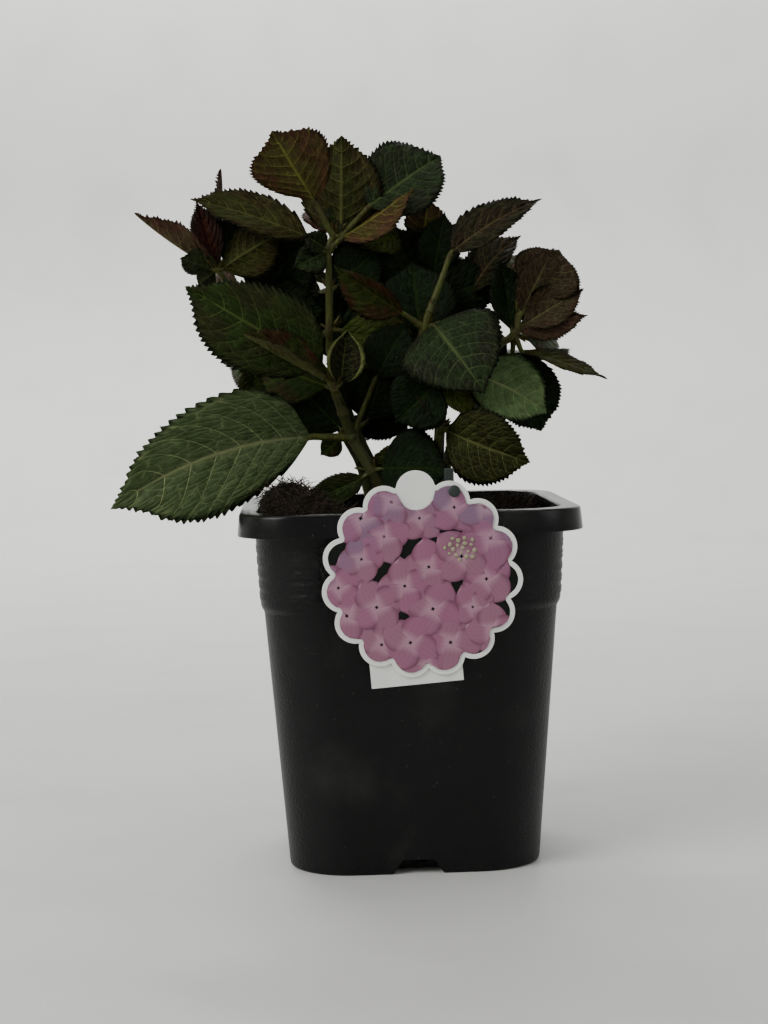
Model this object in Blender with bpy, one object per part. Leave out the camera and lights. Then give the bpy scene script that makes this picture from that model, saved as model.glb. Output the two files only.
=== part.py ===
"""Hydrangea shrub in its square nursery pot, with a picture label on the rim.

Sizes below are in millimetres and become metres when a mesh is made. +Z is up and the front
faces -Y. The origin is the middle of the pot's flat underside.

Directions on the plant are given as a clock angle (0 right, 90 up, 180 left, seen from the
front) and a lean (degrees towards the front).
"""

import math
from dataclasses import dataclass

import bmesh
import bpy
from mathutils import Matrix, Vector
from mathutils.bvhtree import BVHTree

MM = 0.001
CLEAR = 0.3            # gap kept between pieces that touch

# Pot: half widths and heights
POT_HEIGHT = 182.6
LIP_TOP = 85.0
LIP_FOOT = 86.05
LIP_DEPTH = 11.3
LIP_WALL = 1.6
UNDER_LIP = 77.85
SHOULDER_FOOT = 75.5
SHOULDER_DROP = 47.5
STEP_FOOT = 73.9
STEP_DROP = 50.5
BASE = 64.1
WALL = 2.0
EDGE = 1.5
CORNER_TOP = 28.6
CORNER_BASE = 32.7
CORNER_STEPS = 4

# Drainage pockets in the middle of each side's foot
POCKET_LOW = 13.5
POCKET_HIGH = 8.0
POCKET_HEIGHT = 7.4
POCKET_DEPTH = 13.0
DRAIN_HALF = 5.0
DRAIN_LOW = 3.0
DRAIN_HIGH = 6.0

# Soil
SOIL_LEVEL = 171.0
MOUND_AT = (-59.0, -28.0)
MOUND_RISE = 22.0
MOUND_WIDE = 17.0
MOUND_DEEP = 26.0
BANK_AT = (58.0, 34.0)
BANK_RISE = 7.0
BANK_WIDE = 15.0
BANK_DEEP = 34.0
CROWN_AT = (6.0, 14.0)
CROWN_RADIUS = 32.0
SOIL_RINGS = 6

# Label: a flower outline of fourteen lobes and a round badge, hung on the lip's face
CARD_AT = (3.4, 151.3)
CARD_BACK = 86.4
CARD_THICK = 0.8
CARD_TILT = 3.0
LOBES = 15
LOBE_RING = 39.0
LOBE_RADIUS = 10.1
BADGE_RING = 42.4
BADGE_RADIUS = 9.6
CARD_POINTS = 90
TAB_SIZE = (45.0, 26.0)
TAB_AT = (-0.6, 112.0)
TAB_TILT = 4.0
TAB_THICK = 0.5

# Peg that carries the label: a flat stick in the soil, a pin and a push button
STICK_AT = (18.8, -69.6)
STICK_HALF = (2.3, 1.6)
STICK_FOOT = 130.0
STICK_TOP = 203.0
PIN_AT = (19.8, 192.8)
PIN_RADIUS = 1.4
BUTTON_RADIUS = 2.9
BUTTON_THICK = 1.6

# Plant
LEAF_STATIONS = (0.0, 0.12, 0.36, 0.62, 0.86, 1.0)
LEAF_TIP = 0.9         # width left at tip and base of a blade
STALK_RADIUS = 1.15
STALK_SIDES = 0        # bevel resolution of a stalk: four sides
SHOOT_SIDES = 1        # and of a green stem: six sides
LIMB_SIDES = 2         # bevel resolution of a stem: eight sides
TURNS = (0, 5, -5, 10, -10, 15, -15, 20, -20, 26, -26, 32, -32)

COLOURS = {
    "pot": ((0.012, 0.013, 0.014), 0.45),
    "soil": ((0.045, 0.028, 0.018), 0.95),
    "card": ((0.60, 0.36, 0.48), 0.35),
    "tab": ((0.82, 0.82, 0.80), 0.4),
    "bark": ((0.16, 0.15, 0.06), 0.6),
    "leaf": ((0.035, 0.07, 0.025), 0.5),
}


@dataclass
class Limb:
    """A tapering stem through its points, from a radius at the foot to one at the tip."""
    name: str
    foot: float
    tip: float
    points: list


@dataclass
class Leaf:
    """One leaf: the stem point it grows from, its stalk, then its blade."""
    at: int
    stalk: tuple           # length, clock, lean
    long: float
    wide: float
    clock: float
    lean: float
    roll: float = 0.0      # turns the upper side from facing the front
    fold: float = 12.0     # each half rises from the midrib
    arch: float = 22.0     # the midrib bends over, base to tip
    twist: float = 0.0
    sweep: float = 0.0     # the midrib curves within the blade
    round: float = 0.0     # blunter base and tip
    peak: float = 0.44     # where it is widest
    skew: float = 0.0      # how much nearer the tip one half is widest than the other
    level: bool = False    # the upper side faces the sky, not the front


@dataclass
class Mass:
    """Foliage on one green stem, which carries on from a limb's tip."""
    name: str
    limb: str
    tip: float
    points: list
    leaves: list


LIMBS = [
    Limb("main_stem", 3.7, 2.6, [(3, 4, 171.8), (-8, 3, 186), (-16.3, 1, 199), (-26.5, 0, 217),
                                 (-31, -6, 230), (-34.5, -12, 240)]),
    Limb("bough_leader", 3.1, 2.3, [(-4, 14, 171.8), (-15, 12, 200), (-24, 12, 220), (-32, 13, 242),
                                    (-36, 12, 262)]),
    Limb("bough_far_left", 3.3, 2.2, [(-13, 22, 171.8), (-22, 24, 203), (-38, 27, 232), (-52, 27, 252)]),
    Limb("bough_centre", 3.6, 2.6, [(12, 8, 171.8), (10, 9, 200), (8, 5, 235), (10, -1, 262)]),
    Limb("bough_centre_back", 3.4, 2.4, [(7, 22, 171.8), (11, 25, 220), (13, 24, 268)]),
    Limb("bough_right", 3.6, 2.5, [(21, 9, 171.8), (19, 10, 200), (22, 8, 232), (36, 6, 252),
                                   (49, 2, 262)]),
    Limb("bough_low_right", 2.8, 2.2, [(14, -5, 171.8), (16, -7, 200), (18.5, -9, 214)]),
    Limb("bough_back_left", 3.2, 2.2, [(-8, 32, 171.8), (-22, 44, 206), (-42, 58, 238)]),
    Limb("bough_back_middle", 3.4, 2.3, [(4, 36, 171.8), (3, 56, 228), (-2, 68, 256)]),
    Limb("bough_back_right", 3.2, 2.2, [(18, 24, 171.8), (28, 40, 208), (42, 54, 238)]),
]

MASSES = [
    Mass("foliage_front_left", "main_stem", 1.8, [(-35.3, -14, 243)], [
        Leaf(0, (13, 118, 8), 81, 47, 148.5, 5, roll=0, fold=12, arch=14, round=0.45, skew=0.1),
        Leaf(0, (5, 125, 20), 54, 26, 150, 22, roll=60, fold=50, arch=-8),
        Leaf(0, (4, 30, 0), 28, 24, 82, 4, roll=10, fold=34, arch=-24, round=0.8),
        Leaf(0, (8, 165, -60), 50, 34, 158, -66, fold=10, arch=26, round=0.3),
    ]),
    Mass("foliage_leader", "bough_leader", 1.8,
         [(-36.7, 10, 273.4), (-36.3, 9, 294), (-36, 8, 315), (-33.5, 8, 322)], [
        Leaf(3, (21, 117, 14), 47, 42, 122, 32, roll=168, fold=12, arch=-20, twist=20, round=0.45,
             peak=0.6),
        Leaf(3, (4, 0, -5), 53, 44, 88, -5, roll=175, fold=15, arch=0, round=0.7),
        Leaf(2, (31, 46, -5), 54, 44, 35, -25, roll=-18, fold=12, arch=14, round=0.6, skew=0.06),
        Leaf(2, (8, 42, 8), 47, 23, 33, 5, roll=130, fold=25, arch=10),
        Leaf(2, (12, 147, 0), 65, 27, 161, 0, roll=38, fold=18, arch=16, round=0.3),
        Leaf(0, (6, -5, 10), 46, 34, -14, 14, roll=10, fold=10, arch=30),
        Leaf(0, (5, 0, -10), 46, 40, 2, -5, fold=8, arch=20, round=0.4),
        Leaf(2, (3, 150, 30), 17, 14, 150, 40, fold=20, arch=20),
        Leaf(2, (3, 215, 20), 22, 18, 205, 30, fold=20, arch=20),
        Leaf(3, (3, 95, -30), 16, 12, 80, -20, fold=20, arch=20),
        Leaf(1, (4, 30, -20), 32, 30, 40, -15, fold=10, arch=20, round=0.4),
        Leaf(1, (8, 185, -60), 54, 36, 172, -64, fold=12, arch=30, round=0.3),
        Leaf(2, (8, -5, -60), 52, 36, 15, -64, fold=12, arch=30, round=0.3),
        Leaf(3, (5, 90, -80), 44, 30, 95, -68, fold=12, arch=30, round=0.3),
        Leaf(0, (16, 215, -35), 46, 42, 30, -12, fold=10, arch=20, round=0.4),
    ]),
    Mass("foliage_far_left", "bough_far_left", 1.6,
         [(-60, 27, 262), (-80, 16, 285), (-94, 5, 305.7)], [
        Leaf(2, (2, 140, 10), 50, 22, 145, 8, roll=110, fold=45, arch=-15),
        Leaf(2, (2, 110, 0), 36, 18, 106, -8, fold=30, arch=0),
        Leaf(2, (2, 80, -5), 58, 20, 88, -10, roll=-60, fold=40, arch=-10, peak=0.35),
        Leaf(2, (2, 0, 10), 38, 30, 30, 8, roll=165, fold=15, arch=-50),
        Leaf(2, (6, 60, -20), 30, 26, 55, -20, arch=20),
        Leaf(2, (3, 180, 20), 20, 16, 160, 30, roll=160, fold=20, arch=20),
        Leaf(2, (2, 205, -10), 12, 13, 220, 10, roll=160, fold=10, arch=20),
        Leaf(0, (14, 190, 0), 32, 17, 252, 0, roll=-20, fold=12, arch=25, round=0.4),
        Leaf(1, (6, 50, -5), 44, 40, 48, -5, fold=10, arch=20, round=0.4),
        Leaf(1, (4, -30, 0), 38, 34, 2, -5, fold=10, arch=20, round=0.4),
        Leaf(0, (8, 180, -60), 58, 38, 178, -62, fold=12, arch=30, round=0.3),
        Leaf(1, (8, 150, -50), 50, 34, 150, -64, fold=12, arch=30, round=0.3),
    ]),
    Mass("foliage_centre", "bough_centre", 2.0, [(12.3, -4, 273), (15, -5, 281)], [
        Leaf(0, (5, 20, 10), 49, 56, -56, 27, roll=-8, fold=8, arch=30, round=0.4, peak=0.33),
        Leaf(0, (15, 145, 25), 44, 26, 145, 12, roll=-30, fold=35, arch=10),
        Leaf(1, (33, 68, -5), 56, 26, 29.5, -5, roll=-40, fold=15, arch=30, peak=0.34),
        Leaf(0, (35, -45, -5), 44, 41, -29, 8, roll=-30, fold=8, arch=45, round=0.6),
        Leaf(0, (12, -100, -60), 42, 44, 95, -10, fold=10, arch=20, round=0.4),
    ]),
    Mass("foliage_centre_back", "bough_centre_back", 1.6, [(14.5, 22, 288), (17, 21, 298)], [
        Leaf(0, (5, 130, 0), 38, 36, 108, 5, fold=10, arch=20, round=0.4),
        Leaf(1, (4, 60, 20), 34, 24, 78, 5, fold=10, arch=20),
        Leaf(1, (28, 120, -10), 28, 20, 195, 0, roll=20, fold=20, arch=20),
        Leaf(1, (22, 96, -10), 24, 24, 82, -10, roll=170, fold=15, arch=10),
        Leaf(0, (25, 6, 0), 41, 28, 48, 0, roll=-45, fold=15, arch=50),
        Leaf(0, (27, -8, 0), 24, 20, 70, 10, roll=160, fold=15, arch=10),
        Leaf(0, (4, -10, 0), 36, 34, 20, 0, fold=10, arch=20, round=0.4),
        Leaf(0, (4, 200, 0), 32, 30, 200, 0, fold=10, arch=20, round=0.4),
        Leaf(1, (8, 60, -60), 52, 36, 50, -66, fold=12, arch=30, round=0.3),
    ]),
    Mass("foliage_right", "bough_right", 1.7, [(59.5, 0, 269), (62, 0, 278)], [
        Leaf(0, (2, 120, -10), 38, 24, 98, -8, roll=20, fold=20, arch=10),
        Leaf(0, (11, -92, -25), 45, 34, -70, -10, roll=-10, fold=8, arch=20, round=0.7, peak=0.52),
        Leaf(0, (10, -66, 0), 47, 18, -19.5, 5, roll=-62, fold=10, arch=10),
        Leaf(0, (3, 40, 0), 37, 19, 11, 8, roll=150, fold=15, arch=-18),
        Leaf(0, (6, 40, -5), 38, 24, 30, 0, roll=-20, fold=20, arch=6),
        Leaf(1, (3, 60, 0), 37, 37, 62, 0, roll=35, fold=20, arch=0, round=0.4),
        Leaf(1, (14, 50, -10), 28, 38, 60, -5, arch=20, fold=15, round=0.5),
        Leaf(0, (8, 20, -60), 60, 38, 14, -68, fold=12, arch=30, round=0.3),
        Leaf(1, (7, 30, -60), 50, 34, 30, -64, fold=12, arch=30, round=0.3),
        Leaf(0, (9, 215, -66), 38, 36, 205, -22, fold=10, arch=20, round=0.4),
    ]),
    Mass("foliage_low_right", "bough_low_right", 1.6, [(19.5, -11, 221), (19, -12, 230)], [
        Leaf(0, (3, -25, 10), 47, 40, -22, 15, roll=15, fold=12, arch=32, round=0.45),
        Leaf(1, (15, 95, 14), 30, 34, 222, 15, fold=12, arch=40, round=0.4),
        Leaf(1, (17, 85, 0), 27, 16, -52, 5, fold=30, arch=10),
        Leaf(0, (3, 120, 20), 20, 14, 130, 20, roll=60, fold=20, arch=20),
        Leaf(0, (6, 0, -40), 50, 36, -6, -56, fold=12, arch=30, round=0.3),
    ]),
]

# Single leaves straight on a stem
STEM_LEAVES = [
    ("leaf_low_left", "main_stem",
     Leaf(3, (22, 178, 8), 111, 59, 198, 14, roll=-6, fold=12, arch=14, sweep=-36, round=0.45, skew=0.12)),
    ("leaf_foot_right", "main_stem",
     Leaf(2, (6, 15, 40), 38, 42, -2, 12, roll=-20, fold=6, arch=40, round=0.5)),
    ("leaf_foot_left", "main_stem",
     Leaf(2, (5, 215, 6), 38, 16, 205, -8, roll=0, fold=10, arch=16, round=0.4)),
    ("leaf_low_upper", "main_stem",
     Leaf(3, (8, 142, -35), 44, 38, 134, -12, fold=8, arch=24, round=0.4)),
    ("leaf_low_back", "main_stem",
     Leaf(3, (8, 186, -45), 14, 12, 218, 0, fold=8, arch=20, round=0.3)),
    ("leaf_low_right", "main_stem",
     Leaf(3, (33, 67, 5), 34, 28, 60, 0, fold=10, arch=20)),
    ("leaf_behind_right", "bough_back_right",
     Leaf(1, (9, 10, -60), 56, 36, -4, -62, fold=12, arch=30, round=0.3)),
    ("leaf_behind_middle", "bough_back_middle",
     Leaf(1, (9, 160, -70), 62, 40, 170, -78, fold=12, arch=30, round=0.3)),
    ("leaf_low_centre", "bough_centre_back",
     Leaf(1, (7, 135, -20), 36, 18, 184, -5, fold=8, arch=20, round=0.4)),
    ("leaf_inner_left", "bough_leader",
     Leaf(2, (8, 40, 20), 34, 34, 72, 0, fold=8, arch=20, round=0.4)),
    ("leaf_inner_right", "bough_centre",
     Leaf(1, (9, 170, 20), 18, 18, 160, 10, fold=8, arch=20, round=0.4)),
]

# Shoots on the far side, whose leaves follow the species' rule: opposite pairs, each pair
# turned a quarter from the one below, shorter and steeper towards the tip, and shorter again
# where they point into the crown
BACK_SHOOTS = [
    ("foliage_back_left", "bough_back_left", [(-47, 62, 247), (-55, 68, 264), (-61, 71, 281)], 132.0),
    ("foliage_back_middle", "bough_back_middle", [(-4, 72, 266), (-5, 77, 284), (-6, 79, 302)], 92.0),
    ("foliage_back_right", "bough_back_right", [(46, 58, 247), (53, 63, 264), (58, 66, 281)], 48.0),
]
BACK_LONG = (70.0, 60.0, 44.0)
BACK_WIDE = 0.68
BACK_RISE = (4.0, 20.0, 48.0)
BACK_STALK = (12.0, 9.0, 5.0)
BACK_TIP = 1.6
BACK_INNER = 0.45      # length of a leaf that points straight into the crown


# ---------------------------------------------------------------- scene and mesh helpers

def clear_scene():
    for thing in list(bpy.data.objects):
        bpy.data.objects.remove(thing, do_unlink=True)


def new_collection(name):
    group = bpy.data.collections.new(name)
    bpy.context.scene.collection.children.link(group)
    return group


def make_materials():
    made = {}
    for name, (colour, roughness) in COLOURS.items():
        material = bpy.data.materials.new(name)
        material.use_nodes = True
        shader = material.node_tree.nodes["Principled BSDF"]
        shader.inputs["Base Color"].default_value = (*colour, 1.0)
        shader.inputs["Roughness"].default_value = roughness
        shader.inputs["Metallic"].default_value = 0.0
        made[name] = material
    return made


def object_from(bm, name, group, material=None):
    """Turn a bmesh in millimetres into an object in metres."""
    bmesh.ops.recalc_face_normals(bm, faces=bm.faces)
    bmesh.ops.scale(bm, vec=(MM, MM, MM), verts=bm.verts)
    mesh = bpy.data.meshes.new(name)
    bm.to_mesh(mesh)
    bm.free()
    thing = bpy.data.objects.new(name, mesh)
    group.objects.link(thing)
    if material:
        mesh.materials.append(material)
    return thing


def loft(rings):
    """Skin a list of equal rings of points, with a face over each end."""
    bm = bmesh.new()
    rows = [[bm.verts.new(point) for point in ring] for ring in rings]
    count = len(rows[0])
    for low, high in zip(rows, rows[1:]):
        for i in range(count):
            j = (i + 1) % count
            bm.faces.new((low[i], low[j], high[j], high[i]))
    bm.faces.new(rows[0][::-1])
    bm.faces.new(rows[-1])
    return bm


def rounded_square(half, corner, height):
    """A ring round the pot's axis, anticlockwise from above; height may be a function of x, y."""
    points = []
    for quarter in range(4):
        turn = math.radians(90 * quarter)
        for step in range(CORNER_STEPS + 1):
            angle = math.radians(90) * step / CORNER_STEPS
            x = half - corner + corner * math.cos(angle)
            y = half - corner + corner * math.sin(angle)
            px = x * math.cos(turn) - y * math.sin(turn)
            py = x * math.sin(turn) + y * math.cos(turn)
            points.append((px, py, height(px, py) if callable(height) else height))
    return points


def cut(target, cutter, operation="DIFFERENCE"):
    step = target.modifiers.new(operation.lower(), "BOOLEAN")
    step.operation = operation
    step.object = cutter
    step.solver = "EXACT"


def bake(thing):
    """Replace an object's mesh by what its modifiers make of it."""
    graph = bpy.context.evaluated_depsgraph_get()
    graph.update()
    mesh = bpy.data.meshes.new_from_object(thing.evaluated_get(graph))
    thing.modifiers.clear()
    thing.data = mesh
    mesh.name = thing.name


def drop(things):
    for thing in things:
        bpy.data.objects.remove(thing, do_unlink=True)


def helper(thing):
    thing.hide_render = True
    thing.display_type = "WIRE"
    return thing


# ---------------------------------------------------------------- pot, soil, label

def corner_at(height, inset=0.0):
    share = height / POT_HEIGHT
    return CORNER_BASE + (CORNER_TOP - CORNER_BASE) * share - inset


def pot_profile():
    """(half width, height, inset of the corner radius) from the underside, out, up and back in."""
    lip_foot = POT_HEIGHT - LIP_DEPTH
    shoulder_foot = POT_HEIGHT - SHOULDER_DROP
    step_foot = POT_HEIGHT - STEP_DROP
    roof = POT_HEIGHT - WALL
    return [
        (BASE - EDGE, 0.0, EDGE),
        (BASE, EDGE, 0.0),
        (STEP_FOOT, step_foot, 0.0),
        (SHOULDER_FOOT, shoulder_foot, 0.0),
        (UNDER_LIP, roof, 0.0),
        (LIP_TOP - LIP_WALL, roof, LIP_WALL),
        (LIP_FOOT - LIP_WALL, lip_foot, LIP_WALL),
        (LIP_FOOT, lip_foot, 0.0),
        (LIP_TOP, POT_HEIGHT - 0.6, 0.0),
        (LIP_TOP - 0.6, POT_HEIGHT, 0.6),
        (UNDER_LIP - WALL + 0.6, POT_HEIGHT, WALL - 0.6),
        (UNDER_LIP - WALL, POT_HEIGHT - 0.6, WALL),
        (SHOULDER_FOOT - WALL, shoulder_foot, WALL),
        (STEP_FOOT - WALL, step_foot, WALL),
        (BASE - WALL, WALL + EDGE, WALL),
        (BASE - WALL - EDGE, WALL, WALL + EDGE),
    ]


def wedge(name, group, low, high, bottom, top, near, far, quarter):
    """A prism with a trapezoid front, at the middle of one side of the foot."""
    section = [(-low, bottom), (low, bottom), (high, top), (-high, top)]
    bm = loft([[(x, -y, z) for x, z in section] for y in (near, far)])
    turn = Matrix.Rotation(math.radians(90 * quarter), 4, "Z")
    bmesh.ops.transform(bm, matrix=turn, verts=bm.verts)
    return helper(object_from(bm, name, group))


def make_pot(parts, cutters, materials):
    rings = [rounded_square(half, corner_at(z, inset), z) for half, z, inset in pot_profile()]
    pot = object_from(loft(rings), "pot", parts, materials["pot"])
    used = []
    for quarter in range(4):
        housing = wedge(f"housing_{quarter}", cutters, POCKET_LOW + WALL, POCKET_HIGH + WALL, 1.0,
                        POCKET_HEIGHT + WALL, BASE - WALL / 2, BASE - POCKET_DEPTH - WALL, quarter)
        pocket = wedge(f"pocket_{quarter}", cutters, POCKET_LOW, POCKET_HIGH, -1.0,
                       POCKET_HEIGHT, BASE + 5, BASE - POCKET_DEPTH, quarter)
        drain = wedge(f"drain_{quarter}", cutters, DRAIN_HALF, DRAIN_HALF, DRAIN_LOW,
                      DRAIN_HIGH, BASE - POCKET_DEPTH + 1, BASE - POCKET_DEPTH - WALL - 1, quarter)
        cut(pot, housing, "UNION")
        cut(pot, pocket)
        cut(pot, drain)
        used += [housing, pocket, drain]
    bake(pot)
    drop(used)
    return pot


def soil_height(x, y):
    """A mound at the front left and a low bank at the back right, flat where the stems stand."""
    dx, dy = (x - MOUND_AT[0]) / MOUND_WIDE, (y - MOUND_AT[1]) / MOUND_DEEP
    mound = MOUND_RISE * math.exp(-(dx * dx + dy * dy) / 2)
    dx, dy = (x - BANK_AT[0]) / BANK_WIDE, (y - BANK_AT[1]) / BANK_DEEP
    mound += BANK_RISE * math.exp(-(dx * dx + dy * dy) / 2)
    ripple = 1.1 * math.sin(x * 0.13 + 1.0) * math.cos(y * 0.11) + 0.6 * math.sin(x * 0.31 - y * 0.27)
    away = math.dist((x, y), CROWN_AT) / CROWN_RADIUS
    fade = min(max(away - 1.0, 0.0) * 3.0, 1.0)
    return SOIL_LEVEL + (mound + ripple) * fade + 0.5


def make_soil(parts, cutters, materials):
    inner = [(half - CLEAR, z + (CLEAR if half < BASE - WALL else 0.0), inset)
             for half, z, inset in reversed(pot_profile()[-4:])]
    rings = [rounded_square(half, corner_at(z, inset), z) for half, z, inset in inner]
    brim_share = SOIL_LEVEL / POT_HEIGHT
    brim = (SHOULDER_FOOT + (UNDER_LIP - SHOULDER_FOOT) * brim_share * 0.8) - WALL - CLEAR
    for ring in range(SOIL_RINGS):
        share = 1.0 - ring / SOIL_RINGS
        corner = corner_at(SOIL_LEVEL, WALL) * share
        middle = Vector(CROWN_AT) * (1.0 - share)
        points = rounded_square(brim * share, corner, 0.0)
        shifted = [(x + middle.x, y + middle.y) for x, y, _ in points]
        rings.append([(x, y, soil_height(x, y)) for x, y in shifted])
    soil = object_from(loft(rings), "soil", parts, materials["soil"])
    used = []
    for quarter in range(4):
        space = wedge(f"space_{quarter}", cutters, POCKET_LOW + WALL + 2 * CLEAR,
                      POCKET_HIGH + WALL + 2 * CLEAR, 1.0 - CLEAR, POCKET_HEIGHT + WALL + CLEAR,
                      BASE + 5, BASE - POCKET_DEPTH - WALL - CLEAR, quarter)
        cut(soil, space)
        used.append(space)
    socket = stick("socket", cutters, CLEAR)
    cut(soil, helper(socket))
    bake(soil)
    drop(used + [socket])
    return soil


def box(name, group, low, high, material=None):
    bm = bmesh.new()
    bmesh.ops.create_cube(bm, size=1.0)
    size = Vector(high) - Vector(low)
    bmesh.ops.scale(bm, vec=size, verts=bm.verts)
    bmesh.ops.translate(bm, vec=(Vector(high) + Vector(low)) / 2, verts=bm.verts)
    return object_from(bm, name, group, material)


def stick(name, group, grow=0.0):
    x, y = STICK_AT
    wide, deep = STICK_HALF[0] + grow, STICK_HALF[1] + grow
    return box(name, group, (x - wide, y - deep, STICK_FOOT - grow), (x + wide, y + deep, STICK_TOP))


def rod(name, group, radius, near, far, sides=16):
    """A round rod along Y through the label's pin hole."""
    bm = bmesh.new()
    bmesh.ops.create_cone(bm, cap_ends=True, segments=sides, radius1=radius, radius2=radius,
                          depth=far - near)
    bmesh.ops.rotate(bm, matrix=Matrix.Rotation(math.radians(90), 3, "X"), verts=bm.verts)
    bmesh.ops.translate(bm, vec=(PIN_AT[0], (near + far) / 2, PIN_AT[1]), verts=bm.verts)
    return object_from(bm, name, group)


def make_peg(parts, cutters, materials):
    peg = stick("label_peg", parts)
    peg.data.materials.append(materials["pot"])
    face = -(CARD_BACK + CARD_THICK + CLEAR)
    pin = helper(rod("pin", cutters, PIN_RADIUS, face - 0.5, STICK_AT[1]))
    button = helper(rod("button", cutters, BUTTON_RADIUS, face - BUTTON_THICK, face))
    cut(peg, pin, "UNION")
    cut(peg, button, "UNION")
    bake(peg)
    drop([pin, button])
    return peg


def card_reach(angle):
    """How far the flower outline reaches from its middle in one direction."""
    reach = 0.0
    for lobe in range(LOBES):
        middle = math.radians(90 + CARD_TILT + lobe * 360 / LOBES)
        ring, radius = (LOBE_RING, LOBE_RADIUS) if lobe else (BADGE_RING, BADGE_RADIUS)
        off = angle - middle
        across = ring * math.sin(off)
        if math.cos(off) > 0 and abs(across) < radius:
            reach = max(reach, ring * math.cos(off) + math.sqrt(radius ** 2 - across ** 2))
    return reach


def flat_plate(name, group, outline, thick, back, material):
    """A filled 2D curve, stood up in the XZ plane with its rear face at y = -back."""
    curve = bpy.data.curves.new(name, "CURVE")
    curve.dimensions = "2D"
    curve.fill_mode = "BOTH"
    curve.extrude = thick / 2 * MM
    spline = curve.splines.new("POLY")
    spline.points.add(len(outline) - 1)
    for point, (x, z) in zip(spline.points, outline):
        point.co = (x * MM, z * MM, 0.0, 1.0)
    spline.use_cyclic_u = True
    flat = bpy.data.objects.new(name, curve)
    group.objects.link(flat)
    flat.matrix_world = Matrix.Translation((0, -(back + thick / 2) * MM, 0)) @ Matrix.Rotation(
        math.radians(90), 4, "X")
    return solid_from_curve(flat, group, material)


def solid_from_curve(flat, group, material):
    """Swap a curve object for a mesh of the same name, with its caps welded on."""
    graph = bpy.context.evaluated_depsgraph_get()
    graph.update()
    mesh = bpy.data.meshes.new_from_object(flat.evaluated_get(graph))
    bm = bmesh.new()
    bm.from_mesh(mesh)
    bmesh.ops.transform(bm, matrix=flat.matrix_world, verts=bm.verts)
    bmesh.ops.remove_doubles(bm, verts=bm.verts, dist=1e-6)
    bmesh.ops.recalc_face_normals(bm, faces=bm.faces)
    bm.to_mesh(mesh)
    bm.free()
    name = flat.name
    drop([flat])
    thing = bpy.data.objects.new(name, mesh)
    mesh.materials.clear()
    if material:
        mesh.materials.append(material)
    group.objects.link(thing)
    return thing


def make_label(parts, cutters, materials):
    outline = []
    for step in range(CARD_POINTS):
        angle = math.radians(90 + CARD_TILT + step * 360 / CARD_POINTS)
        reach = card_reach(angle)
        outline.append((CARD_AT[0] + reach * math.cos(angle), CARD_AT[1] + reach * math.sin(angle)))
    card = flat_plate("label_card", parts, outline, CARD_THICK, CARD_BACK, materials["card"])
    hole = helper(rod("hole", cutters, PIN_RADIUS + CLEAR, -CARD_BACK - 5, -CARD_BACK + 5))
    cut(card, hole)
    bake(card)
    drop([hole])
    wide, tall = TAB_SIZE
    turn = Matrix.Rotation(math.radians(TAB_TILT), 2)
    corners = [Vector((x * wide / 2, z * tall / 2)) for x, z in ((-1, -1), (1, -1), (1, 1), (-1, 1))]
    placed = [turn @ corner + Vector(TAB_AT) for corner in corners]
    flat_plate("label_tab", parts, [tuple(point) for point in placed], TAB_THICK,
               CARD_BACK - CLEAR - TAB_THICK, materials["tab"])
    return card


# ---------------------------------------------------------------- limbs

def tube(name, group, points, foot, tip, sides, material):
    """A stem as a bevelled curve with filled caps, made into a welded mesh."""
    curve = bpy.data.curves.new(name, "CURVE")
    curve.dimensions = "3D"
    curve.bevel_depth = MM
    curve.bevel_resolution = sides
    curve.use_fill_caps = True
    spline = curve.splines.new("POLY")
    spline.points.add(len(points) - 1)
    walked = [0.0]
    for before, after in zip(points, points[1:]):
        walked.append(walked[-1] + math.dist(before, after))
    for point, place, far in zip(spline.points, points, walked):
        point.co = (*(Vector(place) * MM), 1.0)
        point.radius = foot + (tip - foot) * far / walked[-1]
    holder = bpy.data.objects.new(name, curve)
    group.objects.link(holder)
    return solid_from_curve(holder, group, material)


def make_limb(limb, parts, materials):
    below = Vector(limb.points[0]) + Vector((0, 0, 3))
    points = [limb.points[0], tuple(below)] + list(limb.points[1:])
    return tube(limb.name, parts, points, limb.foot, limb.tip, LIMB_SIDES, materials["bark"])


# ---------------------------------------------------------------- leaves

def aim(clock, lean):
    clock, lean = math.radians(clock), math.radians(lean)
    return Vector((math.cos(lean) * math.cos(clock), -math.sin(lean), math.cos(lean) * math.sin(clock)))


def half_width(leaf, u, side):
    """Half width at u on one side, from a wedge-shaped base to a drawn-out tip."""
    peak = leaf.peak + side * leaf.skew
    if u < peak:
        share = math.sin(math.pi / 2 * u / peak) ** (0.85 - 0.4 * leaf.round)
    else:
        swell = math.cos(math.pi / 2 * (u - peak) / (1 - peak))
        share = max(swell, 0.0) ** (1.1 - 0.45 * leaf.round)
    return max(share * leaf.wide / 2, LEAF_TIP)


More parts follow.
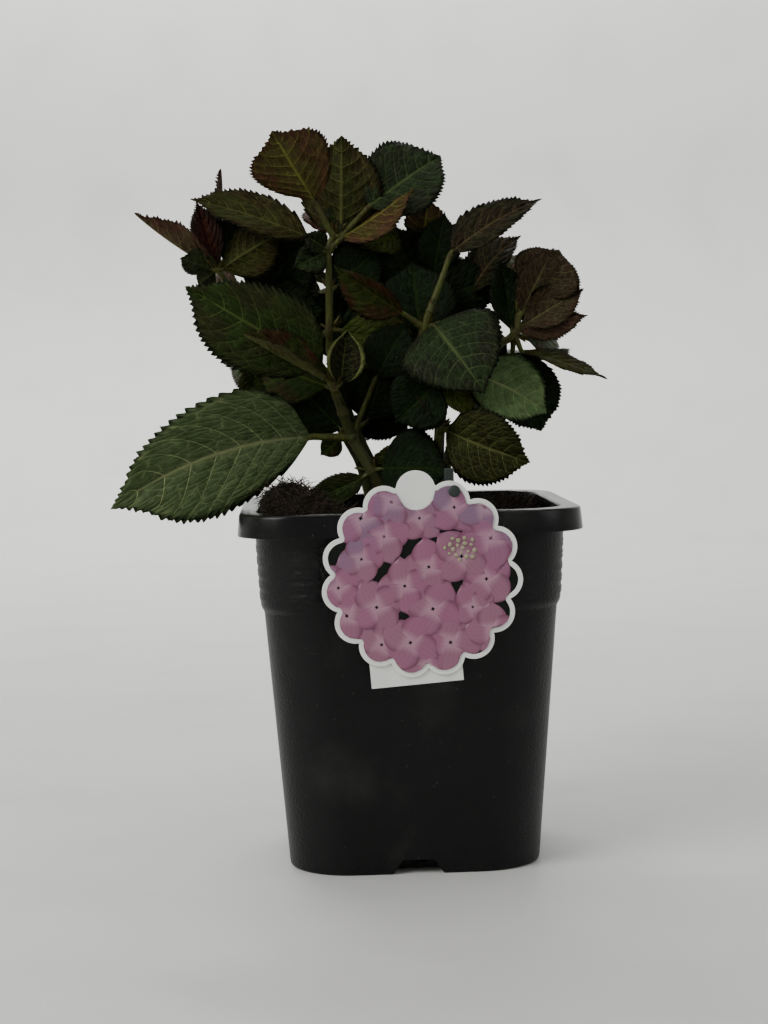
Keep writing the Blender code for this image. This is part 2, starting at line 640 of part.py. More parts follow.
def blade_rows(leaf, base, along, grow=0.0):
    """Stations of a blade: for each the rib point, side, normal and two half widths."""
    facing = Vector((0, 0, 1)) if leaf.level else Vector((0, -1, 0))
    face = (facing - along * facing.dot(along)).normalized()
    face = Matrix.Rotation(math.radians(leaf.roll), 3, along) @ face
    side = face.cross(along)
    bow = face * math.radians(leaf.arch) + side * math.radians(leaf.sweep)
    total = max(bow.length, 0.01)
    bow = bow / total
    chord = math.sin(total / 2) / (total / 2)
    rows = []
    for u in LEAF_STATIONS:
        bend = total * (0.5 - u)
        run = (math.sin(total / 2) - math.sin(bend)) / total
        rise = (math.cos(bend) - math.cos(total / 2)) / total
        rib = base + (along * run + bow * rise) * (leaf.long / chord)
        forward = along * math.cos(bend) + bow * math.sin(bend)
        tipped = bow * math.cos(bend) - along * math.sin(bend)
        normal = face + (tipped - bow) * face.dot(bow)
        normal = Matrix.Rotation(math.radians(leaf.twist * (u - 0.5)), 3, forward) @ normal
        halves = [half_width(leaf, u, side) + grow for side in (1, -1)]
        rows.append((rib, normal.cross(forward), normal, halves))
    return rows


def blade_rings(leaf, base, along, grow=0.0):
    """Six points round each station: a folded plate of even thickness."""
    thick = max(1.0, leaf.long / 70) / 2 + grow
    fold = math.radians(leaf.fold)
    rings = []
    for rib, side, normal, (half, other_half) in blade_rows(leaf, base, along, grow):
        edge = (side * math.cos(fold) + normal * math.sin(fold)) * half
        other = (normal * math.sin(fold) - side * math.cos(fold)) * other_half
        lift = normal * thick
        rings.append([rib + other + lift, rib + lift, rib + edge + lift,
                      rib + edge - lift, rib - lift, rib + other - lift])
    return rings


class Space:
    """What stands already, so that each mass keeps to its own room."""

    def __init__(self):
        self.trees = []

    def add_object(self, thing, owner):
        mesh = thing.data
        points = [thing.matrix_world @ vert.co / MM for vert in mesh.vertices]
        faces = [tuple(face.vertices) for face in mesh.polygons]
        self.trees.append((owner, BVHTree.FromPolygons(points, faces)))

    def seat(self, limb, joint, way, radius):
        """Where a stalk of this radius ends, a hair clear of the bark that it grows from."""
        tree = next(tree for name, tree in self.trees if name == limb)
        bark, normal, _, _ = tree.ray_cast(joint, -way)
        slope = normal.dot(way)
        return bark + way * (CLEAR + radius * math.sqrt(1 - slope * slope)) / slope

    def free(self, rings, owner):
        bm = loft(rings)
        tree = BVHTree.FromBMesh(bm)
        bm.free()
        return not any(tree.overlap(other) for name, other in self.trees if name != owner)


def place_blade(leaf, base, owner, space):
    """Turn a leaf aside by small steps until it touches nothing; give its rings, or None."""
    along = aim(leaf.clock, leaf.lean)
    hinge = along.cross(Vector((0, 1, 0)))
    hinge = hinge.normalized() if hinge.length > 0.1 else Vector((1, 0, 0))
    for turn in TURNS:
        aside = Matrix.Rotation(math.radians(turn), 3, hinge) @ along
        if space.free(blade_rings(leaf, base, aside, CLEAR), owner):
            return blade_rings(leaf, base, aside)
    return None


def square_rings(start, end, radius):
    """A square bar from one point to another, to see whether a stalk or stem stands free."""
    along = (end - start).normalized()
    side = along.orthogonal().normalized() * radius
    other = along.cross(side)
    return [[point + side, point + other, point - side, point - other] for point in (start, end)]


def add_leaf(leaf, start, owner, group, space, limb=None):
    """Make one leaf's stalk and blade as closed solids that overlap, or nothing where it has no room."""
    length, clock, lean = leaf.stalk
    joint = start + aim(clock, lean) * length
    root = space.seat(limb, joint, aim(clock, lean), STALK_RADIUS * 1.25) if limb else start
    if not space.free(square_rings(root.lerp(joint, 0.2), joint, STALK_RADIUS + CLEAR), owner):
        return []
    rings = place_blade(leaf, joint, owner, space)
    if rings is None:
        return []
    blade = object_from(loft(rings), f"{owner}_blade", group)
    into = (rings[1][1] + rings[1][4]) / 2
    reach = [root, joint, joint.lerp(into, 0.5)]
    stalk = tube(f"{owner}_stalk", group, reach, STALK_RADIUS * 1.25, STALK_RADIUS * 0.8, STALK_SIDES, None)
    return [blade, stalk]


def fuse(name, pieces, parts, group, material):
    """Join a mass's stem, stalks and blades into one closed solid."""
    stem, rest = pieces[0], pieces[1:]
    group.objects.unlink(stem)
    parts.objects.link(stem)
    stem.name = name
    step = stem.modifiers.new("union", "BOOLEAN")
    step.operation = "UNION"
    step.operand_type = "COLLECTION"
    step.collection = group
    step.solver = "MANIFOLD"
    bake(stem)
    drop(rest)
    keep_main_body(stem.data)
    stem.data.materials.clear()
    stem.data.materials.append(material)
    return stem


def keep_main_body(mesh):
    """Fill any hollow closed in between crossing leaves: only the outer shell stays."""
    bm = bmesh.new()
    bm.from_mesh(mesh)
    left = set(bm.verts)
    shells = []
    while left:
        shell, edge = set(), {next(iter(left))}
        while edge:
            shell |= edge
            edge = {other.other_vert(vert) for vert in edge for other in vert.link_edges} - shell
        left -= shell
        shells.append(shell)
    main = max(shells, key=len)
    bmesh.ops.delete(bm, geom=[vert for vert in bm.verts if vert not in main], context="VERTS")
    bm.to_mesh(mesh)
    bm.free()


def way_on(limb):
    """A limb's last point and the direction in which it ends."""
    end = Vector(limb.points[-1])
    return end, (end - Vector(limb.points[-2])).normalized()


def stem_points(limb, points):
    """A mass's stem: it starts a hair past its limb's tip and carries straight on first."""
    end, way = way_on(limb)
    return [end + way * CLEAR, end + way * 2.5] + [Vector(point) for point in points]


def make_mass(mass, limb, parts, materials, space):
    group = new_collection(mass.name + "_pieces")
    points = stem_points(limb, mass.points)
    pieces = [tube(mass.name, group, points, limb.tip, mass.tip, SHOOT_SIDES, None)]
    for leaf in mass.leaves:
        pieces += add_leaf(leaf, Vector(mass.points[leaf.at]), mass.name, group, space)
    whole = fuse(mass.name, pieces, parts, group, materials["leaf"])
    bpy.data.collections.remove(group)
    space.add_object(whole, mass.name)


def make_stem_leaf(name, leaf, limb, parts, materials, space):
    """A leaf that grows straight from a limb: its stalk ends a hair clear of the bark."""
    group = new_collection(name + "_pieces")
    pieces = add_leaf(leaf, Vector(limb.points[leaf.at]), name, group, space, limb.name)
    if pieces:
        whole = fuse(name, pieces[::-1], parts, group, materials["leaf"])
        space.add_object(whole, name)
    bpy.data.collections.remove(group)


def back_mass(name, limb, points, turn):
    """A far-side shoot with its pairs of leaves."""
    leaves = []
    outward = Vector((points[0][0], points[0][1], 0.0)).normalized()
    for pair, (long, rise, stalk) in enumerate(zip(BACK_LONG, BACK_RISE, BACK_STALK)):
        for side in (0, 180):
            bearing = math.radians(turn + 90 * pair + side)
            level = Vector((math.cos(bearing), math.sin(bearing), 0.0))
            along = level * math.cos(math.radians(rise)) + Vector((0, 0, math.sin(math.radians(rise))))
            reach = long * (1.0 - (1.0 - BACK_INNER) * max(0.0, -level.dot(outward)))
            clock = math.degrees(math.atan2(along.z, along.x))
            lean = -math.degrees(math.asin(along.y))
            leaves.append(Leaf(pair, (stalk, clock, lean), reach, reach * BACK_WIDE, clock, lean,
                               fold=14, arch=34, round=0.3, level=True))
    return Mass(name, limb, BACK_TIP, points, leaves)


def make_plant(parts, hard, materials):
    space = Space()
    for thing in hard:
        space.add_object(thing, thing.name)
    limbs = {limb.name: limb for limb in LIMBS}
    for limb in LIMBS:
        space.add_object(make_limb(limb, parts, materials), limb.name)
    for name, limb, leaf in STEM_LEAVES:
        make_stem_leaf(name, leaf, limbs[limb], parts, materials, space)
    for mass in MASSES + [back_mass(*shoot) for shoot in BACK_SHOOTS]:
        make_mass(mass, limbs[mass.limb], parts, materials, space)


def main():
    clear_scene()
    parts = new_collection("hydrangea")
    cutters = new_collection("cutters")
    materials = make_materials()
    hard = [make_pot(parts, cutters, materials), make_soil(parts, cutters, materials),
            make_peg(parts, cutters, materials), make_label(parts, cutters, materials)]
    make_plant(parts, hard, materials)
    bpy.data.collections.remove(cutters)


main()
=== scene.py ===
"""Hydrangea shrub in its square nursery pot, with a picture label pinned to the rim.

The tables give sizes in millimetres, which become metres when a mesh is made. +Z is up, the
front faces -Y, and the origin is the middle of the pot's flat underside. Directions on the
plant are a clock angle (0 right, 90 up, 180 left, seen from the front) and a lean (degrees
towards the front).
"""

import math
import random
from contextlib import contextmanager
from dataclasses import dataclass, replace

import bmesh
import bpy
import numpy as np
from bpy.props import FloatProperty, FloatVectorProperty, IntProperty, PointerProperty
from mathutils import Matrix, Vector, noise


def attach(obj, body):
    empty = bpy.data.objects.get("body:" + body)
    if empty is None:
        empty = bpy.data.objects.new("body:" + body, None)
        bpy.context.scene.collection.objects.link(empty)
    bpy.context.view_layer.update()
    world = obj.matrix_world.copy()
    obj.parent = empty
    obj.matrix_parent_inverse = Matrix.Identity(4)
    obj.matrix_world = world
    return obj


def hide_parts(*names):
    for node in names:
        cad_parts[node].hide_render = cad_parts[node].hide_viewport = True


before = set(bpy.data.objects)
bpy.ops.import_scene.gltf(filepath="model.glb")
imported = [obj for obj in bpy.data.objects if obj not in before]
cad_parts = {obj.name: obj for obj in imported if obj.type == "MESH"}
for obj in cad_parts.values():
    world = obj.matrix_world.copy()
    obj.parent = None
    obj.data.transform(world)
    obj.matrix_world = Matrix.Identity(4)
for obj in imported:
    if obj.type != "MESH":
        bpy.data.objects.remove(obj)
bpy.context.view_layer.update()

bl_info = {
    "name": "Potted hydrangea",
    "version": (1, 0, 0),
    "blender": (4, 5, 0),
    "location": "View3D > Sidebar > Hydrangea",
    "description": "Builds a young hydrangea shrub in a square nursery pot",
    "category": "Add Mesh",
}

BODY = "root"
MM = 0.001

# Pot: half widths and heights
POT_HEIGHT = 182.6
LIP_TOP = 85.0
LIP_FOOT = 86.05
LIP_DEPTH = 11.3
LIP_WALL = 1.6
UNDER_LIP = 77.85
SHOULDER_FOOT = 75.5
SHOULDER_DROP = 47.5
STEP_FOOT = 73.9
STEP_DROP = 50.5
BASE = 64.1
WALL = 2.0
CORNER_TOP = 28.6
CORNER_BASE = 32.7
LEAST_CORNER = 3.0
CORNER_STEPS = 14
FLAT_STEPS = 112
POCKET = (13.5, 8.0, 7.4, 13.0)    # half width low and high, height, depth
DRAIN = (5.0, 3.0, 6.0)            # half width, low and high edge
RELIEF_BAND = (137.5, 167.0)       # embossed band on the shoulder
RELIEF_ROWS = 40                   # rows of faces up the band
KEY_ROWS = 5
KEY_PITCH = 6.4
KEY_REACH = 62.0                   # the keys end this far from a side's middle
KEY_FADE = 5.0

# Soil
SOIL_LEVEL = 171.0
MOUND_AT = (-59.0, -28.0)
MOUND_RISE = 22.0
MOUND_WIDE = 17.0
MOUND_DEEP = 26.0
CROWN_AT = (6.0, 14.0)
CROWN_RADIUS = 32.0
BANK_AT = (58.0, 34.0)
BANK_RISE = 7.0
BANK_WIDE = 15.0
BANK_DEEP = 34.0
SOIL_FLOOR = 12.0
SOIL_RINGS = 44
SOIL_STEPS = (26, 8)               # points along a side and round a corner of a ring
SOIL_AREA = 0.0226                 # square metres, which turn a count into a density
HEAP_AREA = 0.0022
HEAP_ABOVE = 4.5                   # the mound's own fibres start this far above the level
ROOTED = 2.5                       # how deep a bough's foot stands in the soil

# Label: a flower outline of fourteen lobes and a round badge, hung on the lip's face
CARD_AT = (3.4, 151.3)
CARD_BACK = 86.4
CARD_THICK = 0.8
CARD_TILT = 3.0
CARD_BORDER = 2.4
LOBES = 15                         # the first is the badge
LOBE_RING = 39.0
LOBE_RADIUS = 10.1
BADGE_RING = 42.4
BADGE_RADIUS = 9.6
CARD_POINTS = 360
PRINT_GAP = 0.06                   # the print stands this far off the card
FLORET_APART = 14.0
FLORET_RADIUS = 14.6
BUDS_AT = (19.0, 14.0)             # from the card's middle
BUD_COUNT = 19
BUD_SPACING = 1.85
BUD_TURN = 2.4                     # radians from one bud of the spiral to the next
TAB_SIZE = (45.0, 26.0)
TAB_AT = (-0.6, 112.0)
TAB_TILT = 4.0
TAB_THICK = 0.5
TAB_BACK = 85.6
STICK_AT = (18.8, -69.6)
STICK_HALF = (2.3, 1.6)
STICK_FOOT = 130.0
STICK_TOP = 203.0
PIN_AT = (19.8, 192.8)
PIN_RADIUS = 1.4
BUTTON_RADIUS = 2.9
BUTTON_THICK = 1.6
PEG_GREEN = (0.010, 0.018, 0.014)

# Camera: place, then turn left, pitch down and roll, as seen from the front
CAMERA_AT = (-0.0563543, -1.0808334, 0.2532583)
CAMERA_YAW = -0.0423
CAMERA_PITCH = 0.0700
CAMERA_ROLL = -0.0231
CAMERA_LENS = 72.659


# ---------------------------------------------------------------- the plant, as in the part

@dataclass
class Limb:
    """A tapering stem through its points, from a radius at the foot to one at the tip."""
    name: str
    foot: float
    tip: float
    points: list


@dataclass
class Leaf:
    """One leaf: the stem point it grows from, its stalk, then its blade."""
    at: int
    stalk: tuple           # length, clock, lean
    long: float
    wide: float
    clock: float
    lean: float
    roll: float = 0.0      # turns the upper side from facing the front
    fold: float = 12.0     # each half rises from the midrib
    arch: float = 22.0     # the midrib bends over, base to tip
    twist: float = 0.0
    sweep: float = 0.0     # the midrib curves within the blade
    round: float = 0.0     # blunter base and tip
    peak: float = 0.44     # where it is widest
    skew: float = 0.0      # how much nearer the tip one half is widest than the other
    level: bool = False    # the upper side faces the sky, not the front
    turn: float = 0.0      # swung aside to stand free of its neighbours
    tint: str = "green"
    young: float = 0.0     # how crinkled and deeply toothed it still is


FULL_GROWN = 26.0      # blades longer than this have all their veins, and a bud in the axil


@dataclass
class Mass:
    """Foliage on one green stem, which carries on from a limb's tip."""
    name: str
    limb: str
    tip: float
    points: list
    leaves: list


def inner(*place, **more):
    """A plain leaf inside the crown, its near-black colour painted shade."""
    return Leaf(*place, **{"fold": 10, "arch": 20, "round": 0.4, "tint": "dark", **more})


def behind(*place, **more):
    """A plain leaf at the back of the crown."""
    return Leaf(*place, **{"fold": 12, "arch": 30, "round": 0.3, **more})


LIMBS = [
    Limb("main_stem", 3.7, 2.6, [(3, 4, 171.8), (-8, 3, 186), (-16.3, 1, 199), (-26.5, 0, 217),
                                 (-31, -6, 230), (-34.5, -12, 240)]),
    Limb("bough_leader", 3.1, 2.3, [(-4, 14, 171.8), (-15, 12, 200), (-24, 12, 220), (-32, 13, 242),
                                    (-36, 12, 262)]),
    Limb("bough_far_left", 3.3, 2.2, [(-13, 22, 171.8), (-22, 24, 203), (-38, 27, 232), (-52, 27, 252)]),
    Limb("bough_centre", 3.6, 2.6, [(12, 8, 171.8), (10, 9, 200), (8, 5, 235), (10, -1, 262)]),
    Limb("bough_centre_back", 3.4, 2.4, [(7, 22, 171.8), (11, 25, 220), (13, 24, 268)]),
    Limb("bough_right", 3.6, 2.5, [(21, 9, 171.8), (19, 10, 200), (22, 8, 232), (36, 6, 252),
                                   (49, 2, 262)]),
    Limb("bough_low_right", 2.8, 2.2, [(14, -5, 171.8), (16, -7, 200), (18.5, -9, 214)]),
    Limb("bough_back_left", 3.2, 2.2, [(-8, 32, 171.8), (-22, 44, 206), (-42, 58, 238)]),
    Limb("bough_back_middle", 3.4, 2.3, [(4, 36, 171.8), (3, 56, 228), (-2, 68, 256)]),
    Limb("bough_back_right", 3.2, 2.2, [(18, 24, 171.8), (28, 40, 208), (42, 54, 238)]),
]

MASSES = [
    Mass("foliage_front_left", "main_stem", 1.8, [(-35.3, -14, 243)], [
        Leaf(0, (13, 118, 8), 81, 47, 148.5, 5, fold=12, arch=14, round=0.45, skew=0.1, tint="deep"),
        Leaf(0, (5, 125, 20), 54, 26, 150, 22, roll=60, fold=50, arch=-8, tint="flush", young=0.6),
        Leaf(0, (4, 30, 0), 28, 24, 82, 4, roll=10, fold=34, arch=-24, round=0.8, tint="bowl"),
        Leaf(0, (8, 165, -60), 50, 34, 158, -66, fold=10, arch=26, round=0.3, turn=-26),
    ]),
    Mass("foliage_leader", "bough_leader", 1.8,
         [(-36.7, 10, 273.4), (-36.3, 9, 294), (-36, 8, 315), (-33.5, 8, 322)], [
        Leaf(3, (21, 117, 14), 47, 42, 122, 32, roll=168, fold=12, arch=-20, twist=20, round=0.45,
             peak=0.6, tint="bronze", young=1.0),
        Leaf(3, (4, 0, -5), 53, 44, 88, -5, roll=175, fold=15, arch=0, round=0.7, tint="olive", young=0.6),
        Leaf(2, (31, 46, -5), 54, 44, 35, -25, roll=-18, fold=12, arch=14, round=0.6, skew=0.06,
             tint="slate", young=0.3),
        Leaf(2, (8, 42, 8), 47, 23, 33, 5, roll=130, fold=25, arch=10, tint="brown", young=0.5),
        Leaf(2, (12, 147, 0), 65, 27, 161, 0, roll=38, fold=18, arch=16, round=0.3, tint="olive",
             young=0.3),
        Leaf(0, (6, -5, 10), 46, 34, -14, 14, roll=10, fold=10, arch=30, turn=10, tint="lime"),
        Leaf(0, (5, 0, -10), 46, 40, 2, -5, fold=8, arch=20, round=0.4, turn=5, tint="dark"),
        Leaf(2, (3, 150, 30), 17, 14, 150, 40, fold=20, arch=20, tint="slate", young=0.8),
        Leaf(2, (3, 215, 20), 22, 18, 205, 30, fold=20, arch=20, tint="slate", young=0.8),
        Leaf(3, (3, 95, -30), 16, 12, 80, -20, fold=20, arch=20, tint="slate", young=0.8),
        inner(1, (4, 30, -20), 32, 30, 40, -15),
        behind(1, (8, 185, -60), 54, 36, 172, -64),
        behind(2, (8, -5, -60), 52, 36, 15, -64, tint="flush"),
        behind(3, (5, 90, -80), 44, 30, 95, -68, tint="bronze", young=0.6),
        inner(0, (16, 215, -35), 46, 42, 30, -12),
    ]),
    Mass("foliage_far_left", "bough_far_left", 1.6,
         [(-60, 27, 262), (-80, 16, 285), (-94, 5, 305.7)], [
        Leaf(2, (2, 140, 10), 50, 22, 145, 8, roll=110, fold=45, arch=-15, tint="blush", young=0.7),
        Leaf(2, (2, 110, 0), 36, 18, 106, -8, fold=30, arch=0, tint="wine", young=1.0),
        Leaf(2, (2, 80, -5), 58, 20, 88, -10, roll=-60, fold=40, arch=-10, peak=0.35, turn=15, tint="rose",
             young=0.8),
        Leaf(2, (2, 0, 10), 38, 30, 30, 8, roll=165, fold=15, arch=-50, turn=15, tint="olive", young=0.4),
        Leaf(2, (6, 60, -20), 30, 26, 55, -20, arch=20, tint="dark"),
        Leaf(2, (3, 180, 20), 20, 16, 160, 30, roll=160, fold=20, arch=20, tint="slate", young=0.6),
        Leaf(2, (2, 205, -10), 12, 13, 220, 10, roll=160, fold=10, arch=20, tint="slate", young=0.6),
        Leaf(0, (14, 190, 0), 32, 17, 252, 0, roll=-20, fold=12, arch=25, round=0.4),
        inner(1, (6, 50, -5), 44, 40, 48, -5),
        inner(1, (4, -30, 0), 38, 34, 2, -5, turn=-5),
        behind(0, (8, 180, -60), 58, 38, 178, -62),
        behind(1, (8, 150, -50), 50, 34, 150, -64, tint="flush"),
    ]),
    Mass("foliage_centre", "bough_centre", 2.0, [(12.3, -4, 273), (15, -5, 281)], [
        Leaf(0, (5, 20, 10), 49, 56, -56, 27, roll=-8, fold=8, arch=30, round=0.4, peak=0.33, tint="slate"),
        Leaf(0, (15, 145, 25), 44, 26, 145, 12, roll=-30, fold=35, arch=10, tint="flush", young=0.4),
        Leaf(1, (33, 68, -5), 56, 26, 29.5, -5, roll=-40, fold=15, arch=30, peak=0.34, tint="brown",
             young=0.4),
        Leaf(0, (35, -45, -5), 44, 41, -29, 8, roll=-30, fold=8, arch=45, round=0.6, tint="fresh"),
        inner(0, (12, -100, -60), 42, 44, 95, -10),
    ]),
    Mass("foliage_centre_back", "bough_centre_back", 1.6, [(14.5, 22, 288), (17, 21, 298)], [
        inner(0, (5, 130, 0), 38, 36, 108, 5, turn=10),
        Leaf(1, (4, 60, 20), 34, 24, 78, 5, fold=10, arch=20, tint="dark"),
        Leaf(1, (28, 120, -10), 28, 20, 195, 0, roll=20, fold=20, arch=20, turn=-32, tint="lime",
             young=1.0),
        Leaf(1, (22, 96, -10), 24, 24, 82, -10, roll=170, fold=15, arch=10, tint="wine", young=0.8),
        Leaf(0, (25, 6, 0), 41, 28, 48, 0, roll=-45, fold=15, arch=50, tint="brown", young=0.6),
        Leaf(0, (27, -8, 0), 24, 20, 70, 10, roll=160, fold=15, arch=10, tint="rose", young=0.8),
        inner(0, (4, -10, 0), 36, 34, 20, 0),
        inner(0, (4, 200, 0), 32, 30, 200, 0, turn=-5),
        behind(1, (8, 60, -60), 52, 36, 50, -66),
    ]),
    Mass("foliage_right", "bough_right", 1.7, [(59.5, 0, 269), (62, 0, 278)], [
        Leaf(0, (2, 120, -10), 38, 24, 98, -8, roll=20, fold=20, arch=10, tint="dark"),
        Leaf(0, (11, -92, -25), 45, 34, -70, -10, roll=-10, fold=8, arch=20, round=0.7, peak=0.52,
             tint="dark"),
        Leaf(0, (10, -66, 0), 47, 18, -19.5, 5, roll=-62, fold=10, arch=10, tint="olive", young=0.4),
        Leaf(0, (3, 40, 0), 37, 19, 11, 8, roll=150, fold=15, arch=-18, tint="rose", young=0.9),
        Leaf(0, (6, 40, -5), 38, 24, 30, 0, roll=-20, fold=20, arch=6, tint="russet", young=0.6),
        Leaf(1, (3, 60, 0), 37, 37, 62, 0, roll=35, fold=20, arch=0, round=0.4, tint="russet", young=0.7),
        Leaf(1, (14, 50, -10), 28, 38, 60, -5, arch=20, fold=15, round=0.5, tint="russet", young=0.5),
        behind(0, (8, 20, -60), 60, 38, 14, -68),
        behind(1, (7, 30, -60), 50, 34, 30, -64, tint="brown", young=0.4),
        inner(0, (9, 215, -66), 38, 36, 205, -22),
    ]),
    Mass("foliage_low_right", "bough_low_right", 1.6, [(19.5, -11, 221), (19, -12, 230)], [
        Leaf(0, (3, -25, 10), 47, 40, -22, 15, roll=15, fold=12, arch=32, round=0.45, tint="moss"),
        Leaf(1, (15, 95, 14), 30, 34, 222, 15, fold=12, arch=40, round=0.4, turn=15, tint="dark"),
        Leaf(1, (17, 85, 0), 27, 16, -52, 5, fold=30, arch=10, turn=-10, tint="lime", young=0.5),
        Leaf(0, (3, 120, 20), 20, 14, 130, 20, roll=60, fold=20, arch=20, tint="brown", young=0.8),
        behind(0, (6, 0, -40), 50, 36, -6, -56),
    ]),
]

# Single leaves straight on a stem: part's name, stem, leaf
STEM_LEAVES = [
    ("leaf_low_left", "main_stem",
     Leaf(3, (22, 178, 8), 111, 59, 198, 14, roll=-6, fold=12, arch=14, sweep=-36, round=0.45, skew=0.12,
          tint="old")),
    ("leaf_foot_right", "main_stem",
     Leaf(2, (6, 15, 40), 38, 42, -2, 12, roll=-20, fold=6, arch=40, round=0.5, turn=-10, tint="dark")),
    ("leaf_foot_left", "main_stem",
     Leaf(2, (5, 215, 6), 38, 16, 205, -8, fold=10, arch=16, round=0.4, turn=10, tint="deep")),
    ("leaf_low_upper", "main_stem",
     Leaf(3, (8, 142, -35), 44, 38, 134, -12, fold=8, arch=24, round=0.4, tint="dark")),
    ("leaf_low_back", "main_stem", Leaf(3, (8, 186, -45), 14, 12, 218, 0, fold=8, arch=20, round=0.3)),
    ("leaf_low_right", "main_stem", Leaf(3, (33, 67, 5), 34, 28, 60, 0, fold=10, arch=20, tint="dark")),
    ("leaf_behind_right", "bough_back_right", behind(1, (9, 10, -60), 56, 36, -4, -62)),
    ("leaf_behind_middle", "bough_back_middle", behind(1, (9, 160, -70), 62, 40, 170, -78)),
    ("leaf_low_centre", "bough_centre_back",
     Leaf(1, (7, 135, -20), 36, 18, 184, -5, fold=8, arch=20, round=0.4, tint="dark")),
    ("leaf_inner_left", "bough_leader",
     Leaf(2, (8, 40, 20), 34, 34, 72, 0, fold=8, arch=20, round=0.4, tint="dark")),
    ("leaf_inner_right", "bough_centre",
     Leaf(1, (9, 170, 20), 18, 18, 160, 10, fold=8, arch=20, round=0.4)),
]

# Shoots on the far side, whose leaves follow the species' rule: opposite pairs, each pair
# turned a quarter from the one below, shorter and steeper towards the tip, and shorter again
# where they point into the crown. The last value names the one leaf of the shoot, counted
# from the foot, that finds no room, and the first leaf's turn aside
BACK_SHOOTS = [
    ("foliage_back_left", "bough_back_left", [(-47, 62, 247), (-55, 68, 264), (-61, 71, 281)], 132.0,
     (2, 10.0)),
    ("foliage_back_middle", "bough_back_middle", [(-4, 72, 266), (-5, 77, 284), (-6, 79, 302)], 92.0,
     (None, 0.0)),
    ("foliage_back_right", "bough_back_right", [(46, 58, 247), (53, 63, 264), (58, 66, 281)], 48.0,
     (3, 0.0)),
]
# Length, rise above level, stalk and tints of each pair
BACK_LONG = (70.0, 60.0, 44.0)
BACK_RISE = (4.0, 20.0, 48.0)
BACK_STALK = (12.0, 9.0, 5.0)
BACK_TINTS = (("old", "green"), ("fresh", "flush"), ("flush", "brown", "bronze"))
BACK_WIDE = 0.68       # width for a length of one
BACK_INNER = 0.45      # what is left of the length where a leaf points straight into the crown
BACK_TIP = 1.6

# Finishes of a blade: the colours of lamina, patches and veins, the share of patches, roughness
LEAF_FINISHES = {
    "green": ((0.012, 0.026, 0.003), (0.020, 0.013, 0.003), (0.070, 0.095, 0.018), 0.35, 0.50),
    "old": ((0.050, 0.074, 0.029), (0.038, 0.060, 0.021), (0.210, 0.240, 0.110), 0.45, 0.50),
    "deep": ((0.010, 0.021, 0.003), (0.014, 0.013, 0.004), (0.065, 0.090, 0.022), 0.40, 0.48),
    # dark: near-black blades, painted shade for leaves deep in the crown
    "dark": ((0.003, 0.009, 0.0015), (0.003, 0.006, 0.0015), (0.016, 0.032, 0.006), 0.40, 0.54),
    "slate": ((0.009, 0.018, 0.005), (0.008, 0.008, 0.004), (0.070, 0.095, 0.034), 0.40, 0.50),
    "fresh": ((0.064, 0.110, 0.040), (0.048, 0.084, 0.030), (0.200, 0.240, 0.100), 0.30, 0.50),
    "olive": ((0.019, 0.022, 0.004), (0.018, 0.012, 0.003), (0.100, 0.110, 0.030), 0.40, 0.54),
    "flush": ((0.013, 0.023, 0.003), (0.032, 0.008, 0.005), (0.075, 0.075, 0.020), 0.50, 0.50),
    "brown": ((0.010, 0.006, 0.002), (0.006, 0.008, 0.002), (0.100, 0.080, 0.035), 0.45, 0.54),
    "moss": ((0.017, 0.023, 0.004), (0.012, 0.012, 0.003), (0.125, 0.140, 0.042), 0.40, 0.52),
    "russet": ((0.032, 0.024, 0.013), (0.028, 0.014, 0.008), (0.170, 0.155, 0.068), 0.45, 0.56),
    "bronze": ((0.034, 0.018, 0.006), (0.044, 0.010, 0.008), (0.080, 0.080, 0.014), 0.50, 0.52),
    "wine": ((0.024, 0.005, 0.003), (0.010, 0.006, 0.003), (0.070, 0.034, 0.020), 0.45, 0.52),
    "rose": ((0.058, 0.030, 0.020), (0.026, 0.016, 0.007), (0.100, 0.070, 0.042), 0.45, 0.58),
    "blush": ((0.052, 0.034, 0.018), (0.042, 0.014, 0.010), (0.120, 0.110, 0.050), 0.50, 0.56),
    "lime": ((0.028, 0.042, 0.005), (0.020, 0.018, 0.004), (0.085, 0.105, 0.022), 0.35, 0.50),
    # bowl: the near-black lamina is painted shade inside the cupped leaf
    "bowl": ((0.002, 0.004, 0.001), (0.006, 0.004, 0.002), (0.100, 0.115, 0.035), 0.50, 0.50),
    "felt": ((0.018, 0.026, 0.009), (0.015, 0.017, 0.007), (0.055, 0.070, 0.024), 0.40, 0.66),
    "rust": ((0.046, 0.040, 0.012), (0.052, 0.020, 0.013), (0.180, 0.175, 0.034), 0.50, 0.58),
    "pale": ((0.080, 0.085, 0.030), (0.052, 0.048, 0.018), (0.140, 0.150, 0.050), 0.40, 0.60),
}
# Each finish of an upper side, with the one its underside has
UNDERSIDES = {upper: under for under, uppers in {
    "felt": ("green", "old", "deep", "slate", "fresh"),
    "olive": ("olive", "moss"),
    "pale": ("flush", "lime", "bowl"),
    "rust": ("brown", "russet", "bronze", "wine"),
    # dark undersides carry the same painted shade
    "dark": ("dark",), "rose": ("rose",), "blush": ("blush",),
}.items() for upper in uppers}


# ---------------------------------------------------------------- node graphs

class Field:
    """A socket in a node tree. Arithmetic on fields adds the nodes that work it out."""

    def __init__(self, tree, socket):
        self.tree, self.socket = tree, socket

    def __add__(self, other):
        return reckon("ADD", self, other)

    def __radd__(self, other):
        return reckon("ADD", other, self)

    def __sub__(self, other):
        return reckon("SUBTRACT", self, other)

    def __rsub__(self, other):
        return reckon("SUBTRACT", other, self)

    def __mul__(self, other):
        return reckon("MULTIPLY", self, other)

    def __rmul__(self, other):
        return reckon("MULTIPLY", other, self)

    def __truediv__(self, other):
        return reckon("DIVIDE", self, other)

    def __pow__(self, other):
        return reckon("POWER", self, other)

    def parts(self):
        node = self.tree.nodes.new("ShaderNodeSeparateXYZ")
        feed(self.tree, node.inputs[0], self)
        return [Field(self.tree, socket) for socket in node.outputs]


